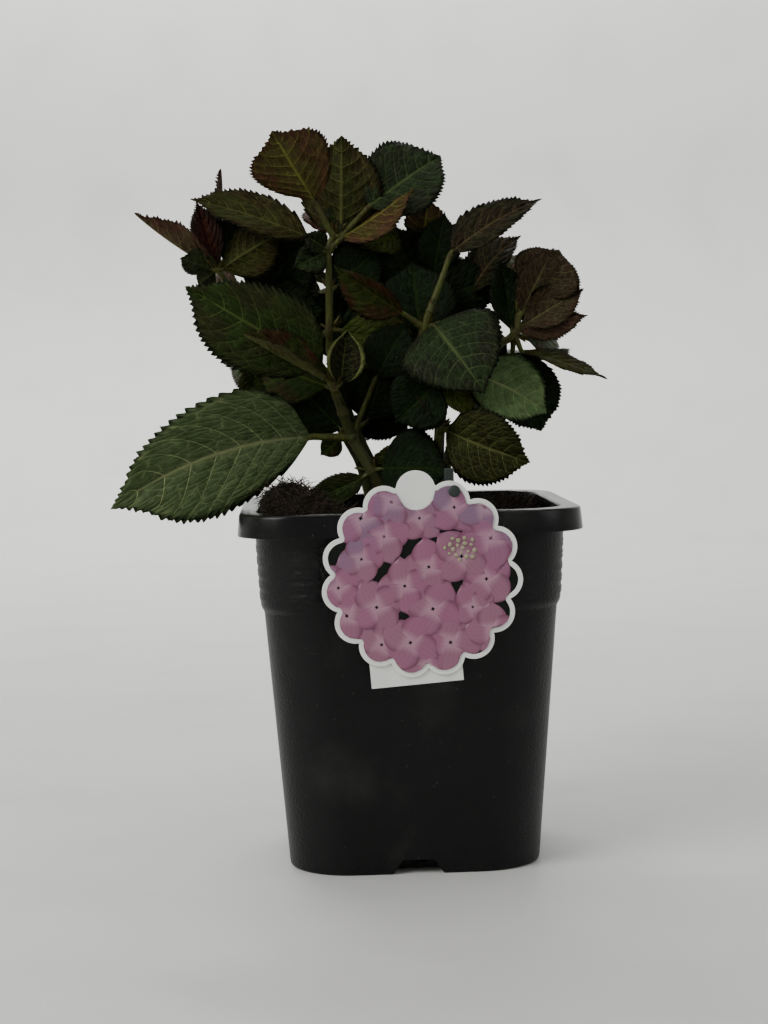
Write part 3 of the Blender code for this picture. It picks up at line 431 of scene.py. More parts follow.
def feed(tree, socket, value):
    """Link a field to a socket, or set the socket to a plain value."""
    if isinstance(value, Field):
        tree.links.new(value.socket, socket)
    elif socket.type == "RGBA" and len(value) == 3:
        socket.default_value = (*value, 1.0)
    else:
        socket.default_value = value


def is_vector(value):
    """Whether a field, or a plain value, is a vector."""
    if isinstance(value, Field):
        return value.socket.type == "VECTOR"
    return isinstance(value, (tuple, Vector))


def reckon(operation, *values):
    """The Math or Vector Math node for an operation on numbers and vectors."""
    tree = next(value.tree for value in values if isinstance(value, Field))
    vectors = [is_vector(value) for value in values]
    node = tree.nodes.new("ShaderNodeVectorMath" if any(vectors) else "ShaderNodeMath")
    sockets = list(node.inputs)
    if any(vectors) and not all(vectors):
        operation = "SCALE"
        values = sorted(values, key=is_vector, reverse=True)
        sockets = [node.inputs[0], node.inputs[3]]
    node.operation = operation
    for socket, value in zip(sockets, values):
        feed(tree, socket, value)
    return Field(tree, node.outputs[0])


class Graph:
    """A node tree under construction."""

    def __init__(self, tree):
        self.tree = tree

    def node(self, kind, inputs=None, **settings):
        """A node with its settings, and its inputs by name."""
        made = self.tree.nodes.new(kind)
        for name, value in settings.items():
            setattr(made, name, value)
        for name, value in (inputs or {}).items():
            feed(self.tree, next(one for one in made.inputs if one.name == name and one.enabled), value)
        return made

    def field(self, kind, output, inputs=None, **settings):
        """One output of a new node."""
        made = self.node(kind, inputs, **settings)
        return Field(self.tree, next(one for one in made.outputs if one.name == output and one.enabled))

    def join(self, x, y, z):
        return self.field("ShaderNodeCombineXYZ", "Vector", {"X": x, "Y": y, "Z": z})

    def ease(self, value, low, high, start=0.0, end=1.0):
        """A smooth step from start to end while value goes from low to high."""
        return self.field("ShaderNodeMapRange", "Result", {
            "Value": value, "From Min": low, "From Max": high, "To Min": start, "To Max": end},
            interpolation_type="SMOOTHSTEP")

    def noise(self, where, scale, detail=2.0, seed=0.0):
        return self.field("ShaderNodeTexNoise", "Fac", {
            "Vector": where, "W": seed, "Scale": scale, "Detail": detail}, noise_dimensions="4D")

    def cells(self, where, scale, feature="F1"):
        return self.field("ShaderNodeTexVoronoi", "Distance", {"Vector": where, "Scale": scale},
                          feature=feature)

    def mix(self, share, first, second):
        return self.field("ShaderNodeMix", "Result", {"Factor": share, "A": first, "B": second},
                          data_type="RGBA")


class Growth(Graph):
    """A Geometry Nodes tree with named inputs."""

    SOCKETS = {float: "NodeSocketFloat", int: "NodeSocketInt", type(None): "NodeSocketMaterial"}

    def __init__(self, name, inputs):
        super().__init__(bpy.data.node_groups.new(name, "GeometryNodeTree"))
        face = self.tree.interface
        face.new_socket("Geometry", in_out="INPUT", socket_type="NodeSocketGeometry")
        for label, default in inputs.items():
            socket = face.new_socket(label, in_out="INPUT", socket_type=self.SOCKETS[type(default)])
            if default is not None:
                socket.default_value = default
        face.new_socket("Geometry", in_out="OUTPUT", socket_type="NodeSocketGeometry")
        self.given = self.tree.nodes.new("NodeGroupInput")
        self.end = self.tree.nodes.new("NodeGroupOutput")

    def __getitem__(self, label):
        return Field(self.tree, self.given.outputs[label])

    def step(self, kind, inputs, output="Geometry", **settings):
        return self.field("GeometryNode" + kind, output, inputs, **settings)

    def position(self):
        return self.step("InputPosition", {}, "Position")

    def random(self, low, high, seed):
        return self.field("FunctionNodeRandomValue", "Value", {"Min": low, "Max": high, "Seed": seed},
                          data_type="FLOAT")

    def store(self, geometry, name, value, kind="FLOAT", domain="POINT"):
        return self.step("StoreNamedAttribute", {"Geometry": geometry, "Name": name, "Value": value},
                         data_type=kind, domain=domain)

    def finish(self, geometry, paint):
        """Realise, shade smooth and paint: paint is a list of (input name, selection or None)."""
        geometry = self.step("SetShadeSmooth", {"Geometry": geometry, "Shade Smooth": True})
        geometry = self.step("RealizeInstances", {"Geometry": geometry})
        for label, where in paint:
            inputs = {"Geometry": geometry, "Material": self[label]}
            if where is not None:
                inputs["Selection"] = where
            geometry = self.step("SetMaterial", inputs)
        feed(self.tree, self.end.inputs[0], geometry)
        return self.tree


def realise(name, tree, inputs, data=None):
    """Run a Geometry Nodes tree on mesh or curve data and keep the result as a plain mesh."""
    thing = bpy.data.objects.new(name, data or bpy.data.meshes.new(name))
    bpy.context.scene.collection.objects.link(thing)
    step = thing.modifiers.new(tree.name, "NODES")
    step.node_group = tree
    for item in tree.interface.items_tree:
        if item.in_out == "INPUT" and item.name in inputs:
            step[item.identifier] = inputs[item.name]
    mesh = evaluated(thing)
    bpy.data.objects.remove(thing, do_unlink=True)
    return mesh


# ---------------------------------------------------------------- meshes

def evaluated(thing):
    """An object's mesh with its modifiers run, or a curve's filled mesh."""
    graph = bpy.context.evaluated_depsgraph_get()
    graph.update()
    return bpy.data.meshes.new_from_object(thing.evaluated_get(graph))


@contextmanager
def edited(mesh):
    """A bmesh of the mesh, written back at the end of the block."""
    bm = bmesh.new()
    bm.from_mesh(mesh)
    yield bm
    bm.to_mesh(mesh)
    bm.free()


def object_of(name, mesh, material=None):
    """A piece in the scene, at the origin."""
    mesh.name = name
    thing = bpy.data.objects.new(name, mesh)
    bpy.context.scene.collection.objects.link(thing)
    if material:
        mesh.materials.clear()
        mesh.materials.append(material)
    return thing


def mesh_of(name, bm, scale=MM):
    """Turn a bmesh in millimetres into a mesh in metres."""
    bmesh.ops.recalc_face_normals(bm, faces=bm.faces)
    bmesh.ops.scale(bm, vec=(scale, scale, scale), verts=bm.verts)
    mesh = bpy.data.meshes.new(name)
    bm.to_mesh(mesh)
    bm.free()
    return mesh


def joined(name, meshes):
    """One object of many meshes, with their attributes and materials."""
    things = [object_of(f"{name}_{count}", mesh) for count, mesh in enumerate(meshes)]
    with bpy.context.temp_override(active_object=things[0], selected_editable_objects=things):
        bpy.ops.object.join()
    things[0].name = things[0].data.name = name
    return things[0]


def soften(thing, degrees=32.0):
    """Shade smooth, with hard edges where faces meet at more than this angle."""
    thing.data.shade_smooth()
    thing.data.set_sharp_from_angle(angle=math.radians(degrees))
    return thing


def place(thing, slot, *nodes):
    """Ride on the one body and stand for CAD nodes; the slot is not used."""
    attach(thing, BODY)
    if nodes:
        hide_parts(*nodes)


def loft(rings, caps=True):
    """A closed skin over rings of as many points each."""
    bm = bmesh.new()
    rows = [[bm.verts.new(point) for point in ring] for ring in rings]
    count = len(rows[0])
    for low, high in zip(rows, rows[1:]):
        for spot in range(count):
            after = (spot + 1) % count
            bm.faces.new((low[spot], low[after], high[after], high[spot]))
    if caps:
        bm.faces.new(rows[0][::-1])
        bm.faces.new(rows[-1])
    return bm


def smooth_path(stops, steps=5):
    """A Catmull-Rom path through stops, each a place and a radius."""
    places = [Vector((*spot, radius)) for spot, radius in stops]
    ends = [places[0] * 2 - places[1]] + places + [places[-1] * 2 - places[-2]]
    path = []
    for before, start, end, after in zip(ends, ends[1:], ends[2:], ends[3:]):
        for step in range(steps):
            t = step / steps
            spot = (start * 2 + (end - before) * t + (before * 2 - start * 5 + end * 4 - after) * t ** 2
                    + (start * 3 - before - end * 3 + after) * t ** 3) / 2
            path.append(spot)
    path.append(places[-1])
    return [(spot.xyz, spot.w) for spot in path]


def curve_of(name, paths):
    """Curve data for stems: paths of places and radii in millimetres."""
    curve = bpy.data.curves.new(name, "CURVE")
    curve.dimensions = "3D"
    for path in paths:
        spline = curve.splines.new("POLY")
        spline.points.add(len(path) - 1)
        for point, (spot, radius) in zip(spline.points, path):
            point.co = (*(spot * MM), 1.0)
            point.radius = radius * MM
    return curve


# ---------------------------------------------------------------- finishes

def dimmed(colour, share):
    """A colour with only a share of its light."""
    return tuple(part * share for part in colour)


class Finish(Graph):
    """A material under construction, with its pattern on Object coordinates."""

    def __init__(self, name, colour, roughness, **uniform):
        self.material = bpy.data.materials.new(name)
        self.material.use_nodes = True
        super().__init__(self.material.node_tree)
        self.shader = self.tree.nodes["Principled BSDF"]
        self.set("Base Color", colour)
        self.set("Roughness", roughness)
        for label, value in uniform.items():
            self.set(label.replace("_", " "), value)
        self.here = self.field("ShaderNodeTexCoord", "Object")

    def set(self, label, value):
        feed(self.tree, self.shader.inputs[label], value)

    def bump(self, height, distance, strength=1.0):
        self.set("Normal", self.field("ShaderNodeBump", "Normal", {
            "Height": height, "Distance": distance, "Strength": strength}))

    def attribute(self, name, output="Fac"):
        return self.field("ShaderNodeAttribute", output, attribute_name=name)


def leaf_finish(name):
    """A blotched blade with pale veins, small veins like rungs and a darker edge."""
    lamina, patch, vein, share, roughness = LEAF_FINISHES[name]
    look = Finish("leaf_" + name, lamina, roughness, Specular_IOR_Level=0.07)
    blade = look.attribute("blade", "Vector")
    veins = look.attribute("vein")
    margin = look.attribute("margin")
    blotch = look.noise(look.here, 70.0, 3.0)
    spread = look.ease(blotch + margin * 0.24, 0.70 - share * 0.4, 0.88 - share * 0.4)
    colour = look.mix(spread, lamina, patch)
    shade = look.noise(look.here, 230.0, 3.0)
    colour = look.mix(look.ease(shade, 0.35, 0.75, 0.0, 0.75), colour, dimmed(lamina, 0.45))
    ladder = look.cells(blade, 1.0, "DISTANCE_TO_EDGE")
    fine = look.cells(blade * (2.6, 1.5, 1.0), 1.6, "DISTANCE_TO_EDGE")
    small = look.ease(ladder, 0.0, 0.06, 0.24, 0.0) + look.ease(fine, 0.0, 0.12, 0.08, 0.0)
    colour = look.mix(small, colour, vein)
    colour = look.mix(look.ease(veins, 0.10, 0.70, 0.0, 0.95), colour, vein)
    colour = look.mix(look.ease(margin, 0.86, 1.0, 0.0, 0.6), colour, dimmed(lamina, 0.3))
    # The cupped leaf, dark with painted shade, is paler towards its margin
    if name == "bowl":
        colour = look.mix(look.ease(margin, 0.78, 0.86), colour, vein)
    look.set("Base Color", colour)
    look.set("Roughness", look.ease(shade, 0.2, 0.8, roughness - 0.08, roughness + 0.12))
    look.bump(look.ease(ladder, 0.0, 0.3) * 0.7 + look.ease(fine, 0.0, 0.3) * 0.3, 0.0007, 0.8)
    return look.material


def stem_finish(name, colour, streak, knot, roughness):
    """Streaked bark with small dark spots."""
    look = Finish(name, colour, roughness, Specular_IOR_Level=0.16)
    along = look.here * (1.0, 1.0, 0.12)
    streaks = look.noise(along, 900.0, 3.0)
    tone = look.mix(look.ease(streaks, 0.40, 0.66), colour, streak)
    spots = look.cells(look.here * (1.0, 1.0, 0.45), 420.0)
    tone = look.mix(look.ease(spots, 0.10, 0.24, 0.7, 0.0), tone, knot)
    patches = look.noise(look.here, 60.0, 2.0)
    tone = look.mix(look.ease(patches, 0.52, 0.72, 0.0, 0.6), tone, streak)
    look.set("Base Color", tone)
    look.set("Roughness", look.ease(streaks, 0.3, 0.7, roughness - 0.1, roughness + 0.12))
    look.bump(streaks + look.ease(spots, 0.05, 0.2, 0.6, 0.0), 0.00025, 0.8)
    return look.material


def pot_finish(settings):
    """Grained plastic with a smoother lip, dust and scuffs."""
    look = Finish("pot_plastic", settings.colour, settings.roughness, Specular_IOR_Level=0.22)
    grain = look.cells(look.here, 1.0 / settings.grain, "SMOOTH_F1")
    _, _, up = look.here.parts()
    lip = look.ease(up, (POT_HEIGHT - LIP_DEPTH - 0.6) * MM, (POT_HEIGHT - LIP_DEPTH + 0.3) * MM)
    dust = look.ease(look.noise(look.here, 24.0, 6.0), 0.50, 0.78, 0.0, settings.dust)
    speck = look.ease(look.cells(look.here, 130.0), 0.05, 0.085, settings.dust * 1.3, 0.0)
    scratched = look.here * (0.25, 0.25, 1.0)
    scuff = look.ease(look.noise(scratched, 420.0, 2.0), 0.70, 0.78, 0.0, settings.dust * 0.5)
    colour = look.mix(dust + speck + scuff, settings.colour, settings.dust_colour)
    look.set("Base Color", colour)
    look.set("Roughness", look.ease(lip, 0.0, 1.0, settings.roughness, 0.24) + dust * 0.6)
    rough = look.noise(look.here, 1400.0, 2.0)
    look.bump(grain * (1.0 - lip) + rough * 0.15, 0.00028, 0.8)
    return look.material


def soil_finish(name, colour, light):
    """Damp, crumbly peat, which also colours the crumbs and fibres."""
    look = Finish(name, colour, 0.92, Specular_IOR_Level=0.2)
    clod = look.noise(look.here, 220.0, 5.0)
    tone = look.mix(look.ease(clod, 0.45, 0.75), colour, light)
    look.set("Base Color", tone)
    look.bump(look.noise(look.here, 900.0, 4.0) + clod, 0.0012, 0.9)
    return look.material


def card_finish(name, colour, shine=0.5, roughness=0.38):
    """Laminated card in one colour, faintly mottled."""
    look = Finish(name, colour, roughness, Specular_IOR_Level=shine)
    mottle = look.noise(look.here, 45.0, 3.0)
    look.set("Base Color", look.mix(look.ease(mottle, 0.4, 0.75), colour, dimmed(colour, 0.86)))
    look.set("Roughness", look.ease(mottle, 0.3, 0.7, roughness - 0.05, roughness + 0.1))
    look.bump(look.noise(look.here, 2600.0, 2.0), 0.00003, 0.4)
    return look.material


def petal_finish(settings):
    """Petals with a pale throat, a deeper rim and fine stripes, lilac at the upper corners."""
    look = Finish("petal_print", settings.petal, 0.36, Specular_IOR_Level=0.5)
    length, across, pick = look.attribute("petal", "Vector").parts()
    x, _, z = look.here.parts()
    corner = reckon("ABSOLUTE", x - CARD_AT[0] * MM) * 14.0 + (z - CARD_AT[1] * MM) * 22.0
    lilac = look.ease(corner + look.noise(look.here, 38.0, 2.0) * 0.9, 0.85, 1.45, 0.0, 0.85)
    colour = look.mix(lilac, settings.petal, settings.lilac)
    colour = look.mix(look.ease(pick, 0.0, 1.0, 0.0, 0.75), colour, settings.petal_deep)
    rim = look.ease(reckon("ABSOLUTE", across), 0.62, 1.0) + look.ease(length, 0.80, 1.0)
    colour = look.mix(reckon("MINIMUM", rim, 1.0) * 0.78, colour, settings.petal_edge)
    colour = look.mix(look.ease(length, 0.34, 0.02, 0.0, 0.5), colour, settings.petal_light)
    fan = reckon("SINE", across * 22.0) * 0.5 + 0.5
    colour = look.mix(look.ease(fan, 0.8, 1.0, 0.0, 0.16), colour, settings.petal_edge)
    look.set("Base Color", colour)
    look.set("Roughness", look.ease(look.noise(look.here, 50.0), 0.3, 0.7, 0.32, 0.42))
    return look.material


# ---------------------------------------------------------------- pot

def corner_at(height, inset=0.0):
    """The radius of the pot's corners, which grows a little towards the foot."""
    return CORNER_BASE + (CORNER_TOP - CORNER_BASE) * height / POT_HEIGHT - inset


def rounded_square(half, corner, height, flats=FLAT_STEPS, corners=CORNER_STEPS):
    """A ring round the pot's axis, anticlockwise from above; height may be a function of x, y."""
    points = []
    for quarter in range(4):
        turn = Matrix.Rotation(math.radians(90 * quarter), 2)
        straight = half - corner
        spots = [(half, -straight + 2 * straight * step / flats) for step in range(flats)]
        for step in range(corners):
            angle = math.radians(90) * step / corners
            spots.append((straight + corner * math.cos(angle), straight + corner * math.sin(angle)))
        for spot in spots:
            x, y = turn @ Vector(spot)
            points.append((x, y, height(x, y) if callable(height) else height))
    return points


def rounded(profile, steps=4):
    """Round each corner of a closed profile by its own radius."""
    smooth = []
    count = len(profile)
    for i in range(count):
        before, (half, z, inset, radius), after = profile[i - 1], profile[i], profile[(i + 1) % count]
        here = Vector((half, z, inset))
        back, on = Vector(before[:3]) - here, Vector(after[:3]) - here
        if not radius:
            smooth.append(tuple(here))
            continue
        start = here + back.normalized() * min(radius, back.length * 0.45)
        end = here + on.normalized() * min(radius, on.length * 0.45)
        for step in range(steps + 1):
            t = step / steps
            smooth.append(tuple(start * (1 - t) ** 2 + here * 2 * t * (1 - t) + end * t ** 2))
    return smooth


def pot_profile():
    """(half width, height, inset of the corner radius, rounding), outside from the foot and back in."""
    lip_foot, shoulder, step = POT_HEIGHT - LIP_DEPTH, POT_HEIGHT - SHOULDER_DROP, POT_HEIGHT - STEP_DROP
    roof = POT_HEIGHT - WALL
    return [
        (BASE - 12, 0.0, 12, 0), (BASE, 0.0, 0.0, 2.2), (STEP_FOOT, step, 0.0, 0.9),
        (SHOULDER_FOOT, shoulder, 0.0, 1.4), (UNDER_LIP, roof, 0.0, 0.5),
        (LIP_TOP - LIP_WALL, roof, LIP_WALL, 0.8), (LIP_FOOT - LIP_WALL, lip_foot, LIP_WALL, 0.5),
        (LIP_FOOT, lip_foot, 0.0, 0.6), (LIP_TOP, POT_HEIGHT, 0.0, 1.6),
        (UNDER_LIP - WALL, POT_HEIGHT, WALL, 1.4), (SHOULDER_FOOT - WALL, shoulder, WALL, 1.0),
        (STEP_FOOT - WALL, step, WALL, 1.0), (BASE - WALL, WALL, WALL, 2.4), (BASE - 12, WALL, 12, 0),
    ]


def fine_profile():
    """The rounded profile, with rows close together on the embossed band."""
    fine = []
    points = rounded(pot_profile())
    for start, end in zip(points, points[1:] + points[:1]):
        fine.append(start)
        low, high = RELIEF_BAND
        if start[0] > UNDER_LIP - 2.5 and end[1] - start[1] > 20:
            first, last = Vector(start), Vector(end)
            for step in range(RELIEF_ROWS + 1):
                height = low + (high - low) * step / RELIEF_ROWS
                fine.append(tuple(first.lerp(last, (height - start[1]) / (end[1] - start[1]))))
    return fine


def emboss(x, y, z, depth):
    """Rows of small raised keys on the shoulder's flats, fading towards the corners."""
    low, high = RELIEF_BAND
    run = y if abs(x) > abs(y) else x
    if not low <= z <= high or abs(run) > KEY_REACH or depth <= 0:
        return 0.0
    row, rise = divmod((z - low) / (high - low) * KEY_ROWS, 1)
    key = (run / KEY_PITCH + 0.5 * (row % 2)) % 1
    bar = 0.16 < rise < 0.84 and 0.12 < key < 0.88
    hollow = 0.42 < rise < 0.62 and key > 0.40
    return depth * (bar and not hollow) * min(1.0, (KEY_REACH - abs(run)) / KEY_FADE)


def wedge(name, low, high, bottom, top, near, far, quarter):
    """A prism with a trapezoid front, at the middle of one side of the foot."""
    section = [(-low, bottom), (low, bottom), (high, top), (-high, top)]
    bm = loft([[(x, -y, z) for x, z in section] for y in (near, far)])
    bmesh.ops.transform(bm, matrix=Matrix.Rotation(math.radians(90 * quarter), 4, "Z"), verts=bm.verts)
    return object_of(name, mesh_of(name, bm))


def combine(thing, operation, cutters):
    """Join other solids to a piece, or cut them out of it."""
    group = bpy.data.collections.new("cutters")
    bpy.context.scene.collection.children.link(group)
    for cutter in cutters:
        group.objects.link(cutter)
    step = thing.modifiers.new(operation, "BOOLEAN")
    step.operation = operation
    step.operand_type = "COLLECTION"
    step.collection = group
    step.solver = "MANIFOLD"
    thing.data = evaluated(thing)
    thing.modifiers.clear()
    for cutter in cutters:
        bpy.data.objects.remove(cutter, do_unlink=True)
    bpy.data.collections.remove(group)


def make_pot(settings):
    """The moulded wall, with a pocket and a drain hole at the middle of each side's foot."""
    rings = []
    for half, z, inset in fine_profile():
        ring = rounded_square(half, max(corner_at(z, inset), LEAST_CORNER), z)
        if half > SHOULDER_FOOT - 1 and not inset:
            grown = [1 + emboss(*spot, settings.emboss / MM) / half for spot in ring]
            ring = [(x * more, y * more, z) for (x, y, z), more in zip(ring, grown)]
        rings.append(ring)
    pot = object_of("nursery_pot", mesh_of("nursery_pot", loft(rings)), pot_finish(settings))
    low, high, tall, deep = POCKET
    half, floor, roof = DRAIN
    for name, operation, *shape in (
            ("housing", "UNION", low + WALL, high + WALL, 1.0, tall + WALL, BASE - WALL / 2,
             BASE - deep - WALL),
            ("pocket", "DIFFERENCE", low, high, -1.0, tall, BASE + 5, BASE - deep),
            ("drain", "DIFFERENCE", half, half, floor, roof, BASE - deep + 1, BASE - deep - WALL - 1)):
        combine(pot, operation, [wedge(f"{name}_{quarter}", *shape, quarter) for quarter in range(4)])
    place(soften(pot), "pot", "pot")


# ---------------------------------------------------------------- soil

def soil_height(x, y):
    """A mound at the front left and a low bank at the back right, flat where the stems stand."""
    dx, dy = (x - MOUND_AT[0]) / MOUND_WIDE, (y - MOUND_AT[1]) / MOUND_DEEP
    mound = MOUND_RISE * math.exp(-(dx * dx + dy * dy) / 2)
    dx, dy = (x - BANK_AT[0]) / BANK_WIDE, (y - BANK_AT[1]) / BANK_DEEP
    mound += BANK_RISE * math.exp(-(dx * dx + dy * dy) / 2)
    ripple = 1.1 * math.sin(x * 0.13 + 1.0) * math.cos(y * 0.11) + 0.6 * math.sin(x * 0.31 - y * 0.27)
    away = math.dist((x, y), CROWN_AT) / CROWN_RADIUS
    fade = min(max(away - 1.0, 0.0) * 3.0, 1.0)
    return SOIL_LEVEL + (mound + ripple) * fade + 0.5


def rough_height(x, y):
    """The soil's height with its lumps."""
    lump = noise.fractal(Vector((x, y, 0.0)) / 9.0, 0.9, 2.1, 5) * 1.3
    return soil_height(x, y) + lump


def soil_rings(brim, rings, height):
    """Rings of the soil's surface, from the pot's wall in to the crown of the plant."""
    made = []
    for ring in range(rings):
        share = 1.0 - ring / rings
        corner = corner_at(SOIL_LEVEL, WALL) * share
        x, y = Vector(CROWN_AT) * (1.0 - share)
        spots = rounded_square(brim * share, corner, 0.0, *SOIL_STEPS)
        made.append([(sx + x, sy + y, height(sx + x, sy + y)) for sx, sy, _ in spots])
    return made


def scatter_tree(name, fibre, thick=0.062):
    """Instances of a crumb or of a bent fibre, dealt over a surface."""
    g = Growth(name, {"Density": 90000.0, "Small": 0.0006, "Large": 0.0016, "Sink": 0.0, "Seed": 3,
                      "Material": None})
    if fibre:
        line = g.step("CurvePrimitiveBezierSegment", {
            "Resolution": 5, "Start": (0.0, 0.0, 0.0), "Start Handle": (0.5, 0.2, 0.5),
            "End Handle": (1.2, -0.5, 0.7), "End": (1.9, 0.3, 0.5)}, "Curve")
        share = g.step("SplineParameter", {}, "Factor")
        ring = g.step("CurvePrimitiveCircle", {"Resolution": 3, "Radius": 1.0}, "Curve")
        shape = g.step("CurveToMesh", {"Curve": line, "Profile Curve": ring, "Fill Caps": True,
                                       "Scale": thick * (1.0 - share * 0.65)}, "Mesh")
    else:
        shape = g.step("MeshIcoSphere", {"Radius": 1.0, "Subdivisions": 1}, "Mesh")
        shape = g.step("SetPosition", {"Geometry": shape, "Offset": g.position() * (
            g.noise(g.position(), 1.3, 1.0) - 0.5) * 1.4})
    seeds = [g["Seed"] + count for count in range(6)]
    points = g.step("DistributePointsOnFaces", {
        "Mesh": g["Geometry"], "Density": g["Density"], "Seed": seeds[0]}, "Points")
    points = g.step("SetPosition", {"Geometry": points, "Offset": g.join(
        0.0, 0.0, g.random(-1.0, 0.0, seeds[1]) * g["Sink"])})
    tilt = 0.9 if fibre else 3.1
    turn = g.join(g.random(-tilt, tilt, seeds[2]), g.random(-tilt, tilt, seeds[3]),
                  g.random(0.0, 6.28, seeds[4]))
    size = g.random(g["Small"], g["Large"], seeds[5])
    flat = 1.0 if fibre else 0.62
    dealt = g.step("InstanceOnPoints", {
        "Points": points, "Instance": shape, "Rotation": turn,
        "Scale": g.join(size, size, size * flat)}, "Instances")
    return g.finish(dealt, [("Material", None)])


def make_soil(settings):
    """The bed, then crumbs and fibres over it, and more fibres on the mound."""
    brim = UNDER_LIP - WALL - 0.9
    low = [rounded_square(BASE - WALL - 0.6, corner_at(SOIL_FLOOR, WALL), SOIL_FLOOR, *SOIL_STEPS)]
    rings = low + soil_rings(brim, SOIL_RINGS, rough_height)
    dark = soil_finish("peat", settings.colour, settings.crumb)
    bed = object_of("soil_bed", mesh_of("soil_bed", loft(rings)), dark)
    bed.data.shade_smooth()
    place(bed, "soil", "soil")
    surface = mesh_of("surface", loft(soil_rings(brim - 2.5, 24, rough_height), caps=False))
    with edited(surface) as bm:
        if sum(face.normal.z for face in bm.faces) < 0:
            bmesh.ops.reverse_faces(bm, faces=bm.faces)
    crumbs = realise("crumbs", scatter_tree("soil crumbs", False), {
        "Density": settings.crumbs / SOIL_AREA, "Small": 0.0004, "Large": 0.0019, "Sink": 0.0004, "Seed": 11,
        "Material": soil_finish("crumb", settings.crumb, settings.colour)}, surface.copy())
    place(object_of("soil_crumbs", crumbs), "soil")
    straw = soil_finish("fibre", settings.fibre, settings.crumb)
    dark_straw = soil_finish("dark_fibre", settings.crumb, settings.fibre)
    batches = []
    for count, (share, small, large, material, seed) in enumerate((
            (0.45, 0.0016, 0.0042, straw, 21), (0.55, 0.0014, 0.0036, dark_straw, 31))):
        batches.append(realise(f"fibres_{count}", scatter_tree(f"soil fibres {count}", True), {
            "Density": settings.fibres * share / SOIL_AREA, "Small": small, "Large": large, "Sink": 0.0008,
            "Seed": seed, "Material": material}, surface.copy()))
    with edited(surface) as bm:
        flat = [face for face in bm.faces if face.calc_center_median().z < (SOIL_LEVEL + HEAP_ABOVE) * MM]
        bmesh.ops.delete(bm, geom=flat, context="FACES")
    for count, (share, material, seed) in enumerate(((0.72, dark_straw, 47), (0.28, straw, 53))):
        batches.append(realise(f"mound_fibres_{count}", scatter_tree(f"mound fibres {count}", True, 0.085), {
            "Density": settings.mound_fibres * share / HEAP_AREA, "Small": 0.0018, "Large": 0.0048,
            "Sink": 0.0006, "Seed": seed, "Material": material}, surface.copy()))
    place(joined("soil_fibres", batches), "soil")


# ---------------------------------------------------------------- label

def card_reach(angle):
    """How far the flower outline reaches from its middle in one direction."""
    reach = 0.0
    for lobe in range(LOBES):
        middle = math.radians(90 + CARD_TILT + lobe * 360 / LOBES)
        ring, radius = (LOBE_RING, LOBE_RADIUS) if lobe else (BADGE_RING, BADGE_RADIUS)
        across = ring * math.sin(angle - middle)
        if math.cos(angle - middle) > 0 and abs(across) < radius:
            reach = max(reach, ring * math.cos(angle - middle) + math.sqrt(radius ** 2 - across ** 2))
    return reach


def card_outline(border):
    """(angle, reach) round the card, or round its printed field inside a white border."""
    angles = [math.radians(90 + CARD_TILT + step * 360 / CARD_POINTS) for step in range(CARD_POINTS)]
    outer = [card_reach(angle) for angle in angles]
    if not border:
        return list(zip(angles, outer))
    rim = np.array([(r * math.cos(a), r * math.sin(a)) for a, r in zip(angles, outer)])
    badge = Vector((math.cos(angles[0]), math.sin(angles[0]))) * BADGE_RING
    inner = []
    for angle, reach in zip(angles, outer):
        while True:
            spot = np.array((reach * math.cos(angle), reach * math.sin(angle)))
            near = np.min(np.hypot(*(rim - spot).T))
            if near >= border and math.dist(spot, badge) > BADGE_RADIUS:
                break
            reach -= 0.1
        inner.append(reach)
    return list(zip(angles, inner))


def stood_up(x, back, z):
    """Turns what lies flat at the origin upright, to face the front at a place in millimetres."""
    return Matrix.Translation(Vector((x, -back, z)) * MM) @ Matrix.Rotation(math.radians(90), 4, "X")


def flat_plate(name, outline, thick, back, rounding, material):
    """A filled 2D curve, stood up in the XZ plane with its rear face at y = -back."""
    curve = bpy.data.curves.new(name, "CURVE")
    curve.dimensions = "2D"
    curve.fill_mode = "BOTH"
    curve.extrude = (thick / 2 - rounding) * MM
    curve.bevel_depth = rounding * MM
    curve.bevel_resolution = 1
    curve.offset = -rounding * MM
    spline = curve.splines.new("POLY")
    spline.points.add(len(outline) - 1)
    for point, (x, z) in zip(spline.points, outline):
        point.co = (x * MM, z * MM, 0.0, 1.0)
    spline.use_cyclic_u = True
    flat = bpy.data.objects.new(name, curve)
    bpy.context.scene.collection.objects.link(flat)
    mesh = evaluated(flat)
    bpy.data.objects.remove(flat, do_unlink=True)
    with edited(mesh) as bm:
        bmesh.ops.remove_doubles(bm, verts=bm.verts, dist=1e-6)
        bmesh.ops.transform(bm, matrix=stood_up(0, back + thick / 2, 0), verts=bm.verts)
        bmesh.ops.recalc_face_normals(bm, faces=bm.faces)
    mesh.materials.clear()
    mesh.materials.append(material)
    return mesh


